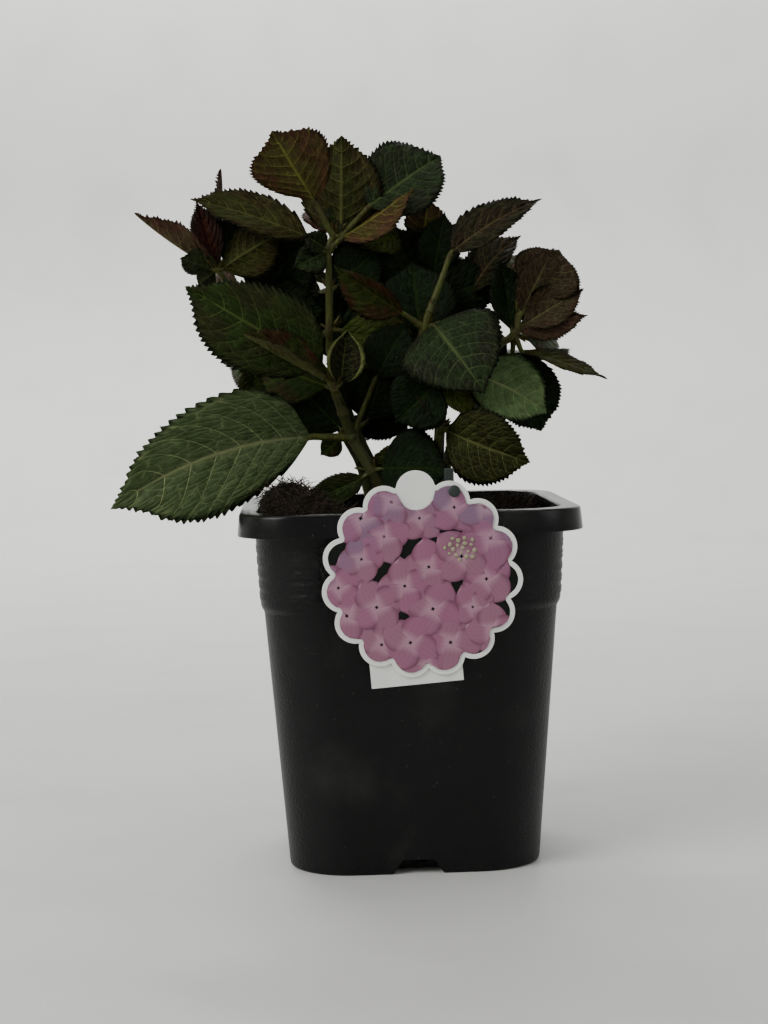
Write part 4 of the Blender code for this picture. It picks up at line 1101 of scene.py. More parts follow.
def floret_tree():
    """Four-petalled florets dealt over the printed field, each a little proud of the last."""
    g = Growth("florets", {"Distance": 0.008, "Density": 60000.0, "Radius": 0.0062, "Seed": 5,
                           "Lift": 0.0003, "Material": None})
    petal = g.step("MeshGrid", {"Size X": 1.0, "Size Y": 1.0, "Vertices X": 10, "Vertices Y": 9}, "Mesh")
    x, y, _ = g.position().parts()
    far = x + 0.5
    wide = reckon("SINE", far ** 0.8 * math.pi) ** 0.55 * 0.52 + 0.01
    across = y * 2.0
    shoulder = 1.0 - across * across * 0.10
    petal = g.store(petal, "petal", g.join(far, across, 0.0), "FLOAT_VECTOR")
    dome = (1.0 - across * across) * 0.03 + (1.0 - far) * 0.05
    petal = g.step("SetPosition", {
        "Geometry": petal, "Position": g.join(far * shoulder, across * wide, dome)})
    spokes = g.step("MeshCircle", {"Vertices": 4, "Radius": 0.04}, "Mesh")
    turn = g.step("InputIndex", {}, "Index") * (math.pi / 2)
    floret = g.step("InstanceOnPoints", {
        "Points": spokes, "Instance": petal, "Rotation": g.join(0.05, 0.0, turn)}, "Instances")
    points = g.step("DistributePointsOnFaces", {
        "Mesh": g["Geometry"], "Distance Min": g["Distance"], "Density Max": g["Density"],
        "Seed": g["Seed"]}, "Points", distribute_method="POISSON")
    points = g.step("SetPosition", {"Geometry": points, "Offset": g.join(
        0.0, 0.0, g.random(0.0, 1.0, g["Seed"] + 1) * g["Lift"])})
    size = g["Radius"] * g.random(0.80, 1.20, g["Seed"] + 2)
    dealt = g.step("InstanceOnPoints", {
        "Points": points, "Instance": floret, "Scale": g.join(size, size, size * 0.5),
        "Rotation": g.join(0.0, 0.0, g.random(0.0, 6.28, g["Seed"] + 3))}, "Instances")
    return g.finish(dealt, [("Material", None)])


def make_florets(settings, field):
    """Print the field with florets, kept inside the white border."""
    disc = bmesh.new()
    disc.faces.new([disc.verts.new((r * math.cos(a) * 0.98, r * math.sin(a) * 0.98, 0.0)) for a, r in field])
    bmesh.ops.triangulate(disc, faces=disc.faces)
    base = mesh_of("field", disc)
    if sum(face.normal.z for face in base.polygons) < 0:
        base.flip_normals()
    mesh = realise("florets", floret_tree(), {
        "Distance": FLORET_APART * MM, "Radius": FLORET_RADIUS * MM, "Seed": 8, "Lift": 0.0003,
        "Density": 60000.0,
        "Material": petal_finish(settings)}, base)
    reaches = [reach for _, reach in field]
    with edited(mesh) as bm:
        keep_inside(bm, reaches)
        shade_petals(bm, random.Random(4))
        bmesh.ops.delete(bm, geom=[vert for vert in bm.verts if not vert.link_faces], context="VERTS")
        stand = stood_up(CARD_AT[0], CARD_BACK + CARD_THICK + PRINT_GAP, CARD_AT[1])
        bmesh.ops.transform(bm, matrix=stand, verts=bm.verts)
    return mesh


def keep_inside(bm, reaches):
    """Draw petals that cross the white border back to it, and delete what lies wholly outside."""
    outside = set()
    for vert in bm.verts:
        x, y = vert.co.x / MM, vert.co.y / MM
        angle = math.degrees(math.atan2(y, x)) - 90 - CARD_TILT
        limit = reaches[int(round(angle * CARD_POINTS / 360)) % CARD_POINTS]
        far = math.hypot(x, y)
        if far > limit:
            outside.add(vert)
            vert.co.x, vert.co.y = vert.co.x * limit / far, vert.co.y * limit / far
    bmesh.ops.delete(bm, geom=[face for face in bm.faces if outside.issuperset(face.verts)], context="FACES")


def shade_petals(bm, picked):
    """Give each petal, which is a loose shell, its own share of the deeper colour."""
    tone = bm.verts.layers.float_vector["petal"]
    shaded = set()
    for first in bm.verts:
        if first in shaded:
            continue
        shell, edge = set(), {first}
        while edge:
            shell |= edge
            edge = {other.other_vert(vert) for vert in edge for other in vert.link_edges} - shell
        shaded |= shell
        shade = picked.random()
        for vert in shell:
            vert[tone] = (vert[tone][0], vert[tone][1], shade)


def bud_cluster(settings):
    """The paler closed buds in the middle of the printed flower head."""
    picked = random.Random(9)
    bm = bmesh.new()
    for count in range(BUD_COUNT):
        angle, far = count * BUD_TURN, BUD_SPACING * math.sqrt(count + 0.3)
        size = picked.uniform(0.75, 1.35)
        spot = Vector((CARD_AT[0] + BUDS_AT[0] + far * math.cos(angle), -(CARD_BACK + CARD_THICK + 1.3),
                       CARD_AT[1] + BUDS_AT[1] + far * math.sin(angle) * 0.8))
        matrix = Matrix.Translation(spot) @ Matrix.Diagonal((size, 0.32, size * picked.uniform(0.8, 1.2), 1))
        bmesh.ops.create_icosphere(bm, subdivisions=2, radius=1.0, matrix=matrix)
    mesh = mesh_of("buds", bm)
    mesh.shade_smooth()
    mesh.materials.append(card_finish("bud_print", tuple(settings.buds)))
    return mesh


def make_label(settings):
    """The printed card in one piece, the plain tab behind it and the peg."""
    rim, field = card_outline(0.0), card_outline(CARD_BORDER)
    spots = [[(CARD_AT[0] + r * math.cos(a), CARD_AT[1] + r * math.sin(a)) for a, r in line]
             for line in (rim, field)]
    white = card_finish("card_white", tuple(settings.border))
    gaps = card_finish("print_gaps", tuple(settings.gaps), 0.15)
    meshes = [flat_plate("card", spots[0], CARD_THICK, CARD_BACK, 0.12, white),
              flat_plate("field", spots[1], 0.12, CARD_BACK + CARD_THICK - PRINT_GAP, 0.02, gaps),
              make_florets(settings, field), bud_cluster(settings)]
    card = joined("label_card_printed", meshes)
    place(card, "card", "label_card")
    wide, tall = TAB_SIZE
    turn = Matrix.Rotation(math.radians(TAB_TILT), 2)
    corners = [tuple(turn @ Vector((x * wide / 2, z * tall / 2)) + Vector(TAB_AT))
               for x, z in ((-1, -1), (1, -1), (1, 1), (-1, 1))]
    plain = card_finish("tab_white", tuple(settings.border))
    tab = flat_plate("tab", corners, TAB_THICK, TAB_BACK, 0.1, plain)
    place(object_of("label_tab_plain", tab), "tab", "label_tab")
    make_peg()


def round_rod(radius, near, far, crown=0.0):
    """A round rod along Y through the label's hole, with a domed and rounded front."""
    rows = [(0.02, near - crown), (radius * 0.55, near - crown * 0.8), (radius * 0.85, near - crown * 0.25),
            (radius, near + 0.15), (radius, far)]
    rings = [[(PIN_AT[0] + r * math.cos(a), y, PIN_AT[1] + r * math.sin(a))
              for a in (math.tau * step / 32 for step in range(32))] for r, y in rows]
    return loft(rings)


def make_peg():
    """The upright stick, the pin through the card and its button."""
    look = Finish("peg_plastic", PEG_GREEN, 0.42)
    look.bump(look.noise(look.here, 1800.0), 0.00006, 0.5)
    look.set("Roughness", look.ease(look.noise(look.here, 90.0), 0.3, 0.7, 0.36, 0.52))
    bm = bmesh.new()
    bmesh.ops.create_cube(bm, size=1.0)
    bmesh.ops.scale(bm, vec=(STICK_HALF[0] * 2, STICK_HALF[1] * 2, STICK_TOP - STICK_FOOT), verts=bm.verts)
    bmesh.ops.translate(bm, vec=(*STICK_AT, (STICK_TOP + STICK_FOOT) / 2), verts=bm.verts)
    bmesh.ops.bevel(bm, geom=bm.edges[:], offset=0.7, segments=3, affect="EDGES", profile=0.6)
    face = -(CARD_BACK + CARD_THICK + 0.3)
    meshes = [mesh_of("stick", bm), mesh_of("pin", round_rod(PIN_RADIUS, face - 0.5, STICK_AT[1])),
              mesh_of("button", round_rod(BUTTON_RADIUS, face - BUTTON_THICK + 0.45, face, 0.4))]
    for mesh in meshes:
        mesh.materials.append(look.material)
    place(soften(joined("label_peg_moulded", meshes), 40), "peg", "label_peg")


# ---------------------------------------------------------------- stems and leaves

def aim(clock, lean):
    """The direction for a clock angle and a lean."""
    clock, lean = math.radians(clock), math.radians(lean)
    return Vector((math.cos(lean) * math.cos(clock), -math.sin(lean), math.cos(lean) * math.sin(clock)))


def stem_tree():
    """A skin round stems: it follows their radius, with long ridges and small dents."""
    g = Growth("stem skin", {"Step": 0.0011, "Sides": 20, "Ridge": 0.00018, "Grain": 700.0, "Seed": 0.0,
                             "Material": None})
    line = g.step("ResampleCurve", {"Curve": g["Geometry"], "Length": g["Step"]}, "Curve", mode="LENGTH")
    ring = g.step("CurvePrimitiveCircle", {"Resolution": g["Sides"], "Radius": 1.0}, "Curve")
    skin = g.step("CurveToMesh", {"Curve": line, "Profile Curve": ring, "Fill Caps": True,
                                  "Scale": g.step("InputRadius", {}, "Radius")}, "Mesh")
    here = g.position()
    ridges = g.noise(here * (1.0, 1.0, 0.15), g["Grain"], 2.0, g["Seed"]) - 0.5
    dents = g.noise(here, g["Grain"] * 0.35, 2.0, g["Seed"] + 4.0) - 0.5
    push = (ridges + dents) * g["Ridge"] * 2.0
    skin = g.step("SetPosition", {"Geometry": skin, "Offset": g.step("InputNormal", {}, "Normal") * push})
    return g.finish(skin, [("Material", None)])


def blade_tree():
    """A leaf blade along X with its upper side up: toothed, veined, quilted, folded and arched."""
    g = Growth("leaf blade", {
        "Length": 0.08, "Width": 0.05, "Fold": 0.2, "Arch": 0.3, "Sweep": 0.0, "Twist": 0.0,
        "Round": 0.3, "Peak": 0.44, "Skew": 0.0, "Thickness": 0.0004, "Rib": 0.0009, "Vein pairs": 7,
        "Columns": 10, "Rows": 9, "Sweep of veins": 0.8, "Quilt": 0.0006, "Crinkle": 0.0002, "Wave": 0.001,
        "Teeth": 0.0013, "Seed": 0.0, "Top": None, "Underside": None})
    length, width, seed = g["Length"], g["Width"], g["Seed"]
    cells = g["Vein pairs"] + 1.0
    columns = cells * g["Columns"]
    sheet = g.step("MeshGrid", {"Size X": 1.0, "Size Y": 1.0, "Vertices X": columns + 1.0,
                                "Vertices Y": g["Rows"] * 2.0 + 1.0}, "Mesh")
    x, y, _ = g.position().parts()
    along = x + 0.5
    out = reckon("ABSOLUTE", y) * 2.0
    sign = reckon("SIGN", y)
    reach = out ** 1.5
    number = reckon("ROUND", along * columns)
    # Columns crowd together at each side vein and spread evenly at the margin
    beat = along * cells
    beat = beat - (1.0 - reach ** 6.0) * 0.75 * reckon("SINE", beat * math.tau) / math.tau
    level = beat / cells
    share = reckon("MAXIMUM", level, 0.0) ** (g["Sweep of veins"] * (0.42 - reach ** 1.1) + 1.0)
    # Outline: wedge-shaped base, drawn-out tip, and teeth that point forwards
    peak = g["Peak"] + sign * g["Skew"]
    rising = reckon("SINE", reckon("MINIMUM", share / peak, 1.0) * (math.pi / 2))
    falling = reckon("COSINE", reckon("MAXIMUM", (share - peak) / (1.0 - peak), 0.0) * (math.pi / 2))
    rising = reckon("MAXIMUM", rising, 0.0) ** (0.85 - g["Round"] * 0.4)
    falling = reckon("MAXIMUM", falling, 0.0) ** (1.1 - g["Round"] * 0.45)
    drawn = 1.0 - g.ease(share, 0.78, 0.97) * (0.66 - g["Round"] * 0.30)
    half = reckon("MAXIMUM", rising * falling * drawn * width / 2.0, 0.00025)
    uneven = g.noise(g.join(number * 0.37, sign * 5.0, seed), 1.0, 1.0, seed)
    tooth = (reckon("MODULO", number, 4.0) / 3.0) ** 0.8 * (uneven * 2.6 - 0.3) * g["Teeth"]
    tooth = tooth * g.ease(share, 0.03, 0.16) * g.ease(share, 1.0, 0.93) * reckon("GREATER_THAN", out, 0.99)
    spread = half * reach + tooth
    share = share + tooth * 0.45 / length
    # Relief: the lamina swells between the veins; young leaves are crumpled more
    vein = reckon("COMPARE", reckon("MODULO", number, g["Columns"]), 0.0, 0.1)
    vein = vein * g.ease(along, 0.0, 0.06) * g.ease(along, 1.0, 0.94)
    swell = reckon("ABSOLUTE", reckon("SINE", beat * math.pi)) ** 0.7 * g.ease(reach, 0.0, 0.16)
    swell = swell * (1.0 - reach ** 4.0) * g["Quilt"]
    crumple = g.noise(g.join(beat * 1.9, sign * reach * 5.0, seed * 3.0), 1.0, 2.0, seed) - 0.5
    lift = swell + crumple * g["Crinkle"] * g.ease(reach, 0.0, 0.25) * 2.0
    sway = g.noise(g.join(share * 4.5, sign * 2.0 + seed * 9.0, seed), 1.0, 1.0, seed) - 0.5
    lift = lift + g["Wave"] * reach ** 2.0 * sway * 4.0
    # Frame of the midrib, bent and twisted from base to tip
    arch, sweep = g["Arch"], g["Sweep"]
    total = reckon("MAXIMUM", reckon("SQRT", arch * arch + sweep * sweep), 0.01)
    aside, up = sweep / total, arch / total
    bend = total * (0.5 - share)
    sine, cosine = reckon("SINE", bend), reckon("COSINE", bend)
    run = (reckon("SINE", total / 2.0) - sine) / total
    rise = (cosine - reckon("COSINE", total / 2.0)) / total
    scale = length * (total / 2.0) / reckon("SINE", total / 2.0)
    rib = g.join(run, aside * rise, up * rise) * scale
    forward = g.join(cosine, aside * sine, up * sine)
    dip = (cosine - 1.0) * up
    normal = g.join(sine * up * -1.0, aside * dip, up * dip + 1.0)
    normal = g.field("ShaderNodeVectorRotate", "Vector", {
        "Vector": normal, "Axis": forward, "Angle": g["Twist"] * (share - 0.5)}, rotation_type="AXIS_ANGLE")
    side = reckon("CROSS_PRODUCT", normal, forward)
    flank = rib + side * (reckon("COSINE", g["Fold"]) * sign * spread)
    height = reckon("SINE", g["Fold"]) * spread + lift
    taper = reckon("MINIMUM", (1.0 - out) * 7.0, 1.0) * reckon("MINIMUM", along * 30.0, 1.0)
    taper = taper * reckon("MINIMUM", (1.0 - along) * 30.0, 1.0)
    thick = g["Thickness"] * 0.5 * taper
    ridge = reckon("MAXIMUM", 1.0 - spread / (g["Rib"] * 1.1), 0.0) * (1.0 - share * 0.8)
    ridge = (ridge + vein * (1.0 - reach) * 0.28) * g["Rib"] * taper
    midrib = reckon("MAXIMUM", 1.0 - reach / 0.055, 0.0) * (1.0 - share * 0.35)
    strength = reckon("MAXIMUM", midrib, vein * (0.95 - reach * 0.65))
    sheet = g.store(sheet, "vein", strength)
    sheet = g.store(sheet, "margin", reach)
    # Small veins cross from one side vein to the next like rungs
    rungs = g.join(beat * 1.2, spread * 330.0, seed * 50.0 + sign * 3.0)
    sheet = g.store(sheet, "blade", rungs, "FLOAT_VECTOR")
    upper = g.step("SetPosition", {"Geometry": sheet, "Position": flank + normal * (height + thick)})
    lower = g.step("SetPosition", {"Geometry": sheet, "Position": flank + normal * (height - thick - ridge)})
    lower = g.step("FlipFaces", {"Mesh": lower}, "Mesh")
    lower = g.store(lower, "under", 1.0, domain="FACE")
    both = g.node("GeometryNodeJoinGeometry")
    for layer in (lower, upper):
        g.tree.links.new(layer.socket, both.inputs[0])
    blade = g.step("MergeByDistance", {"Geometry": Field(g.tree, both.outputs[0]), "Distance": 1e-6})
    under = g.step("InputNamedAttribute", {"Name": "under"}, "Attribute", data_type="FLOAT")
    return g.finish(blade, [("Top", None), ("Underside", reckon("GREATER_THAN", under, 0.5))])


class Garden:
    """Trees and finishes that every leaf and stem shares."""

    def __init__(self, settings):
        self.settings = settings
        self.blades = blade_tree()
        self.skins = stem_tree()
        self.leaf_looks = {name: leaf_finish(name) for name in LEAF_FINISHES}
        self.bark = stem_finish("stem_bark", settings.bark, settings.bark_green, settings.lenticel, 0.62)
        self.shoot = stem_finish("green_shoot", settings.shoot, settings.shoot_flush, settings.lenticel, 0.50)
        self.seed = random.Random(settings.seed)

    def skin(self, name, paths, material, ridge, step=0.0011, sides=20):
        return realise(name, self.skins, {
            "Step": step, "Sides": sides, "Ridge": ridge, "Seed": self.seed.random() * 20,
            "Material": material}, curve_of(name, paths))

    def blade(self, leaf, base, along):
        """One blade's mesh, in its place."""
        facing = Vector((0, 0, 1)) if leaf.level else Vector((0, -1, 0))
        face = (facing - along * facing.dot(along)).normalized()
        face = Matrix.Rotation(math.radians(leaf.roll), 3, along) @ face
        side = face.cross(along)
        top, under = self.leaf_looks[leaf.tint], self.leaf_looks[UNDERSIDES[leaf.tint]]
        seed = self.seed.random()
        large = leaf.long > FULL_GROWN
        size = leaf.long / 60
        mesh = realise("blade", self.blades, {
            "Length": leaf.long * MM, "Width": leaf.wide * MM, "Fold": math.radians(leaf.fold),
            "Arch": math.radians(leaf.arch), "Sweep": math.radians(leaf.sweep),
            "Twist": math.radians(leaf.twist), "Round": float(leaf.round), "Peak": leaf.peak,
            "Skew": float(leaf.skew), "Thickness": 0.00038, "Rib": 0.0009 * min(size, 1.4) ** 0.6,
            "Vein pairs": 8 if leaf.long > 70 else 7 if large else 4, "Columns": 10 if large else 8,
            "Rows": 9 if large else 5, "Quilt": self.settings.quilt * (0.60 + 1.0 * leaf.young) * size ** 0.5,
            "Crinkle": 0.0004 + 0.0013 * leaf.young * min(size, 1.0),
            "Wave": (0.0012 + 0.0010 * leaf.young) * min(size, 1.3),
            "Teeth": self.settings.teeth * min(size, 1.25) * (1 + 0.2 * leaf.young), "Seed": seed,
            "Top": top, "Underside": under})
        turned = Matrix((along, side, face)).transposed().to_4x4()
        mesh.transform(Matrix.Translation(base * MM) @ turned)
        return mesh

    def leaf(self, leaf, start, radius):
        """A leaf's blade, its stalk's path, and the direction in which the stalk leaves."""
        length, clock, lean = leaf.stalk
        way = aim(clock, lean)
        joint = start + way * length
        along = aim(leaf.clock, leaf.lean)
        if leaf.turn:
            hinge = along.cross(Vector((0, 1, 0)))
            hinge = hinge.normalized() if hinge.length > 0.1 else Vector((1, 0, 0))
            along = Matrix.Rotation(math.radians(leaf.turn), 3, hinge) @ along
        thick = 1.0 + 0.0085 * leaf.long
        into = joint + along * leaf.long * 0.07
        stops = [(start, min(thick * 1.5, radius)), (start + way * min(length * 0.3, 4.0), thick * 1.25),
                 (start + way * length * 0.65, thick), (joint, thick * 0.9), (into, thick * 0.55)]
        return self.blade(leaf, joint, along), smooth_path(stops), way

    def buds(self, spot, way, size, count):
        """A bud of small folded leaves, pointing one way."""
        meshes = []
        for turn in range(count):
            spin = Matrix.Rotation(turn * math.tau / count + 0.6, 3, way)
            lean = (way + spin @ way.orthogonal().normalized() * 0.22).normalized()
            small = Leaf(0, (0, 0, 0), size * (1.0 - 0.12 * (turn % 2)), size * 0.42, 0, 0, fold=48, arch=-24,
                         round=0.2, tint=("lime", "bronze", "slate")[turn % 3], young=0.2)
            facing = lean.cross(spin @ way.orthogonal()).cross(lean) * -1
            small.roll = math.degrees(self.roll_to(lean, facing))
            meshes.append(self.blade(small, spot, lean))
        return meshes

    @staticmethod
    def roll_to(along, facing):
        """The roll about a leaf's axis that turns its upper side from the front to a direction."""
        front = Vector((0, -1, 0))
        face = (front - along * front.dot(along)).normalized()
        wanted = (facing - along * facing.dot(along)).normalized()
        return math.atan2(along.dot(face.cross(wanted)), face.dot(wanted))


def swollen(points, foot, tip):
    """Stops along a stem, with a slight swelling at each joint."""
    walked = [0.0]
    for before, after in zip(points, points[1:]):
        walked.append(walked[-1] + math.dist(before, after))
    stops = []
    for count, (spot, far) in enumerate(zip(points, walked)):
        radius = foot + (tip - foot) * far / walked[-1]
        if 0 < count < len(points) - 1:
            way = (Vector(points[count + 1]) - Vector(points[count - 1])).normalized()
            near = Vector(spot)
            stops += [(near - way * 3.0, radius * 0.97), (near, radius * 1.16),
                      (near + way * 3.0, radius * 0.95)]
        else:
            stops.append((Vector(spot), radius))
    return stops


def make_limb(garden, limb):
    """A bough in its bark, from just below the soil."""
    points = [Vector(spot) for spot in limb.points]
    points[0] -= Vector((0, 0, ROOTED))
    path = smooth_path(swollen(points, limb.foot, limb.tip))
    mesh = garden.skin(limb.name, [path], garden.bark, garden.settings.bark_depth, 0.0009, 24)
    place(object_of(limb.name + "_bark", mesh), "bark", limb.name)


def make_leaves(garden, name, nodes, stems, leaves):
    """Two pieces: the blades, and the shoots and stalks that carry them.

    stems are paths of stops; leaves are (leaf, start, radius, way on of the stem)."""
    paths = [smooth_path(stops) for stops in stems]
    blades = []
    for leaf, start, radius, onward in leaves:
        mesh, path, way = garden.leaf(leaf, start, radius)
        blades.append(mesh)
        paths.append(path)
        if leaf.long > FULL_GROWN:
            axil = (way + onward).normalized()
            blades += garden.buds(start + axil * radius * 1.1, axil, garden.seed.uniform(4.5, 8.0), 2)
    for stops in stems:
        end, way = stops[-1][0], (stops[-1][0] - stops[-2][0]).normalized()
        blades += garden.buds(end, way, garden.seed.uniform(8.0, 11.0), 3)
    place(joined(name + "_leaves", blades), "leaf", *nodes)
    shoots = garden.skin(name, paths, garden.shoot, 0.00009, 0.0014, 14)
    place(object_of(name + "_stalks", shoots), "leaf")


def make_mass(garden, mass, limb):
    """A shoot that carries on from its limb, with its leaves."""
    end = Vector(limb.points[-1])
    way = (end - Vector(limb.points[-2])).normalized()
    points = [end - way * 1.5, end + way * 2.5] + [Vector(spot) for spot in mass.points]
    stops = swollen(points, limb.tip, mass.tip)
    leaves = []
    for leaf in mass.leaves:
        start = Vector(mass.points[leaf.at])
        before = points[leaf.at + 1]
        leaves.append((leaf, start, mass.tip * 1.1, (start - before).normalized()))
    make_leaves(garden, mass.name, [mass.name], [stops], leaves)


def back_mass(garden, name, limb, points, turn, odd):
    """A far-side shoot with its pairs of leaves."""
    skipped, first_turn = odd
    leaves = []
    outward = Vector((points[0][0], points[0][1], 0.0)).normalized()
    for pair, (long, rise, stalk) in enumerate(zip(BACK_LONG, BACK_RISE, BACK_STALK)):
        for side in (0, 180):
            bearing = math.radians(turn + 90 * pair + side)
            level = Vector((math.cos(bearing), math.sin(bearing), 0.0))
            along = level * math.cos(math.radians(rise)) + Vector((0, 0, math.sin(math.radians(rise))))
            far = long * (1.0 - (1.0 - BACK_INNER) * max(0.0, -level.dot(outward)))
            clock = math.degrees(math.atan2(along.z, along.x))
            lean = -math.degrees(math.asin(along.y))
            leaves.append(Leaf(pair, (stalk, clock, lean), far, far * BACK_WIDE, clock, lean, fold=14,
                               arch=34, round=0.3, level=True, tint=garden.seed.choice(BACK_TINTS[pair]),
                               young=0.3 * pair))
    leaves[0] = replace(leaves[0], turn=first_turn)
    kept = [leaf for count, leaf in enumerate(leaves) if count != skipped]
    return Mass(name, limb, BACK_TIP, points, kept)


# ---------------------------------------------------------------- stage

# A round bowl, in metres: reach of the flat floor, radius of the cove, top of the wall
STAGE_FLAT, STAGE_COVE, STAGE_HIGH = 1.75, 0.55, 2.6
STAGE_TURNS = 96
COVE_STEPS = 12


def area_light(name, power, size, spot, target, colour=(1.0, 1.0, 1.0)):
    """A rectangular soft light at a spot, aimed at a target."""
    light = bpy.data.lights.new(name, "AREA")
    light.energy = power
    light.shape = "RECTANGLE"
    light.size, light.size_y = size
    light.color = colour
    thing = bpy.data.objects.new(name, light)
    thing.location = spot
    thing.rotation_euler = (Vector(target) - Vector(spot)).to_track_quat("-Z", "Y").to_euler()
    bpy.context.scene.collection.objects.link(thing)


def make_stage(settings):
    """A pale floor that curves up all round, four soft lights and the camera."""
    look = Finish("studio_floor", settings.floor, 0.6)
    wear = look.noise(look.here, 9.0, 5.0)
    look.set("Base Color", look.mix(look.ease(wear, 0.45, 0.75), settings.floor,
                                    dimmed(settings.floor, 0.93)))
    bm = bmesh.new()
    rows = [(STAGE_FLAT / 3, 0.0), (STAGE_FLAT * 2 / 3, 0.0), (STAGE_FLAT, 0.0)]
    for step in range(1, COVE_STEPS + 1):
        angle = math.radians(90) * step / COVE_STEPS
        rows.append((STAGE_FLAT + STAGE_COVE * math.sin(angle), STAGE_COVE * (1 - math.cos(angle))))
    rows.append((STAGE_FLAT + STAGE_COVE, STAGE_HIGH))
    middle = bm.verts.new((0.0, 0.0, 0.0))
    angles = [math.tau * step / STAGE_TURNS for step in range(STAGE_TURNS)]
    turns = [(math.cos(angle), math.sin(angle)) for angle in angles]
    lines = [[bm.verts.new((far * x, far * y, z)) for x, y in turns] for far, z in rows]
    for step in range(STAGE_TURNS):
        after = (step + 1) % STAGE_TURNS
        bm.faces.new((middle, lines[0][step], lines[0][after]))
        for near, far in zip(lines, lines[1:]):
            bm.faces.new((near[step], far[step], far[after], near[after]))
    floor = object_of("studio_sweep", mesh_of("studio_sweep", bm, 1.0), look.material)
    if floor.data.polygons[0].normal.z < 0:
        floor.data.flip_normals()
    floor.data.shade_smooth()
    area_light("window_left", settings.key, (1.3, 1.3), (-1.5, -1.1, 1.5), (0, 0, 0.18), (1.0, 0.985, 0.96))
    area_light("fill_right", settings.fill, (1.6, 1.6), (1.7, -1.3, 1.0), (0, 0, 0.2), (0.96, 0.98, 1.0))
    area_light("backdrop", settings.wall, (2.4, 0.4), (-0.6, 1.75, 1.8), (-0.4, 2.25, 0.8))
    area_light("overhead", settings.top, (1.8, 1.8), (0.0, 0.2, 2.2), (0, 0, 0))
    world = bpy.context.scene.world or bpy.data.worlds.new("studio")
    bpy.context.scene.world = world
    world.use_nodes = True
    ground = world.node_tree.nodes["Background"]
    ground.inputs["Color"].default_value = (0.93, 0.95, 1.0, 1.0)
    ground.inputs["Strength"].default_value = settings.ambient
    make_camera()


def make_camera():
    """The camera, turned left, then down, then rolled about its view."""
    yaw, pitch, roll = CAMERA_YAW, CAMERA_PITCH, CAMERA_ROLL
    ahead = Vector((-math.sin(yaw) * math.cos(pitch), math.cos(yaw) * math.cos(pitch), -math.sin(pitch)))
    right = Vector((math.cos(yaw), math.sin(yaw), 0.0))
    above = right.cross(ahead)
    axes = (right * math.cos(roll) + above * math.sin(roll),
            above * math.cos(roll) - right * math.sin(roll), -ahead)
    data = bpy.data.cameras.new("camera")
    data.sensor_fit = "VERTICAL"
    data.sensor_height = 36.0
    data.lens = CAMERA_LENS
    camera = bpy.data.objects.new("camera", data)
    camera.matrix_world = Matrix.Translation(CAMERA_AT) @ Matrix(axes).transposed().to_4x4()
    bpy.context.scene.collection.objects.link(camera)
    bpy.context.scene.camera = camera


# ---------------------------------------------------------------- add-on

def colour_setting(name, text, default):
    return FloatVectorProperty(name=name, description=text, subtype="COLOR", size=3, min=0.0, max=1.0,
                               default=default)


def amount(name, text, default, low=0.0, high=1.0, **more):
    return FloatProperty(name=name, description=text, default=default, min=low, max=high, **more)


class PotSettings(bpy.types.PropertyGroup):
    colour: colour_setting("Plastic", "Colour of the moulded plastic", (0.0012, 0.0015, 0.0016))
    dust_colour: colour_setting("Dust", "Colour of dust and scuffs", (0.16, 0.155, 0.145))
    roughness: amount("Roughness", "Roughness of the grained wall", 0.40)
    grain: amount("Grain", "Size of the leather grain", 0.0011, 0.0002, 0.01, unit="LENGTH")
    dust: amount("Dust share", "How much dust lies on the plastic", 0.09)
    emboss: amount("Emboss", "Height of the keys on the shoulder", 0.00036, 0.0, 0.001, unit="LENGTH")


class SoilSettings(bpy.types.PropertyGroup):
    colour: colour_setting("Peat", "Colour of the damp peat", (0.006, 0.004, 0.003))
    crumb: colour_setting("Crumbs", "Colour of crumbs and dark fibres", (0.008, 0.0055, 0.0035))
    fibre: colour_setting("Straw", "Colour of the pale fibres", (0.055, 0.040, 0.023))
    crumbs: IntProperty(name="Crumbs", description="Number of crumbs", default=3600, min=0)
    fibres: IntProperty(name="Fibres", description="Number of fibres", default=1500, min=0)
    mound_fibres: IntProperty(name="Mound fibres", description="More fibres on the mound", default=950, min=0)


class LabelSettings(bpy.types.PropertyGroup):
    border: colour_setting("Border", "Colour of the border, badge and tab", (0.72, 0.73, 0.70))
    gaps: colour_setting("Gaps", "Colour between the printed florets", (0.004, 0.006, 0.004))
    petal: colour_setting("Petal", "Main colour of the printed petals", (0.225, 0.095, 0.145))
    petal_deep: colour_setting("Deep petal", "Colour of the darker petals", (0.24, 0.08, 0.15))
    petal_light: colour_setting("Petal throat", "Colour near a floret's middle", (0.45, 0.28, 0.335))
    petal_edge: colour_setting("Petal edge", "Colour along a petal's edge", (0.13, 0.03, 0.07))
    lilac: colour_setting("Lilac", "Colour of the petals at the upper corners", (0.155, 0.095, 0.165))
    buds: colour_setting("Buds", "Colour of the closed buds", (0.29, 0.27, 0.17))


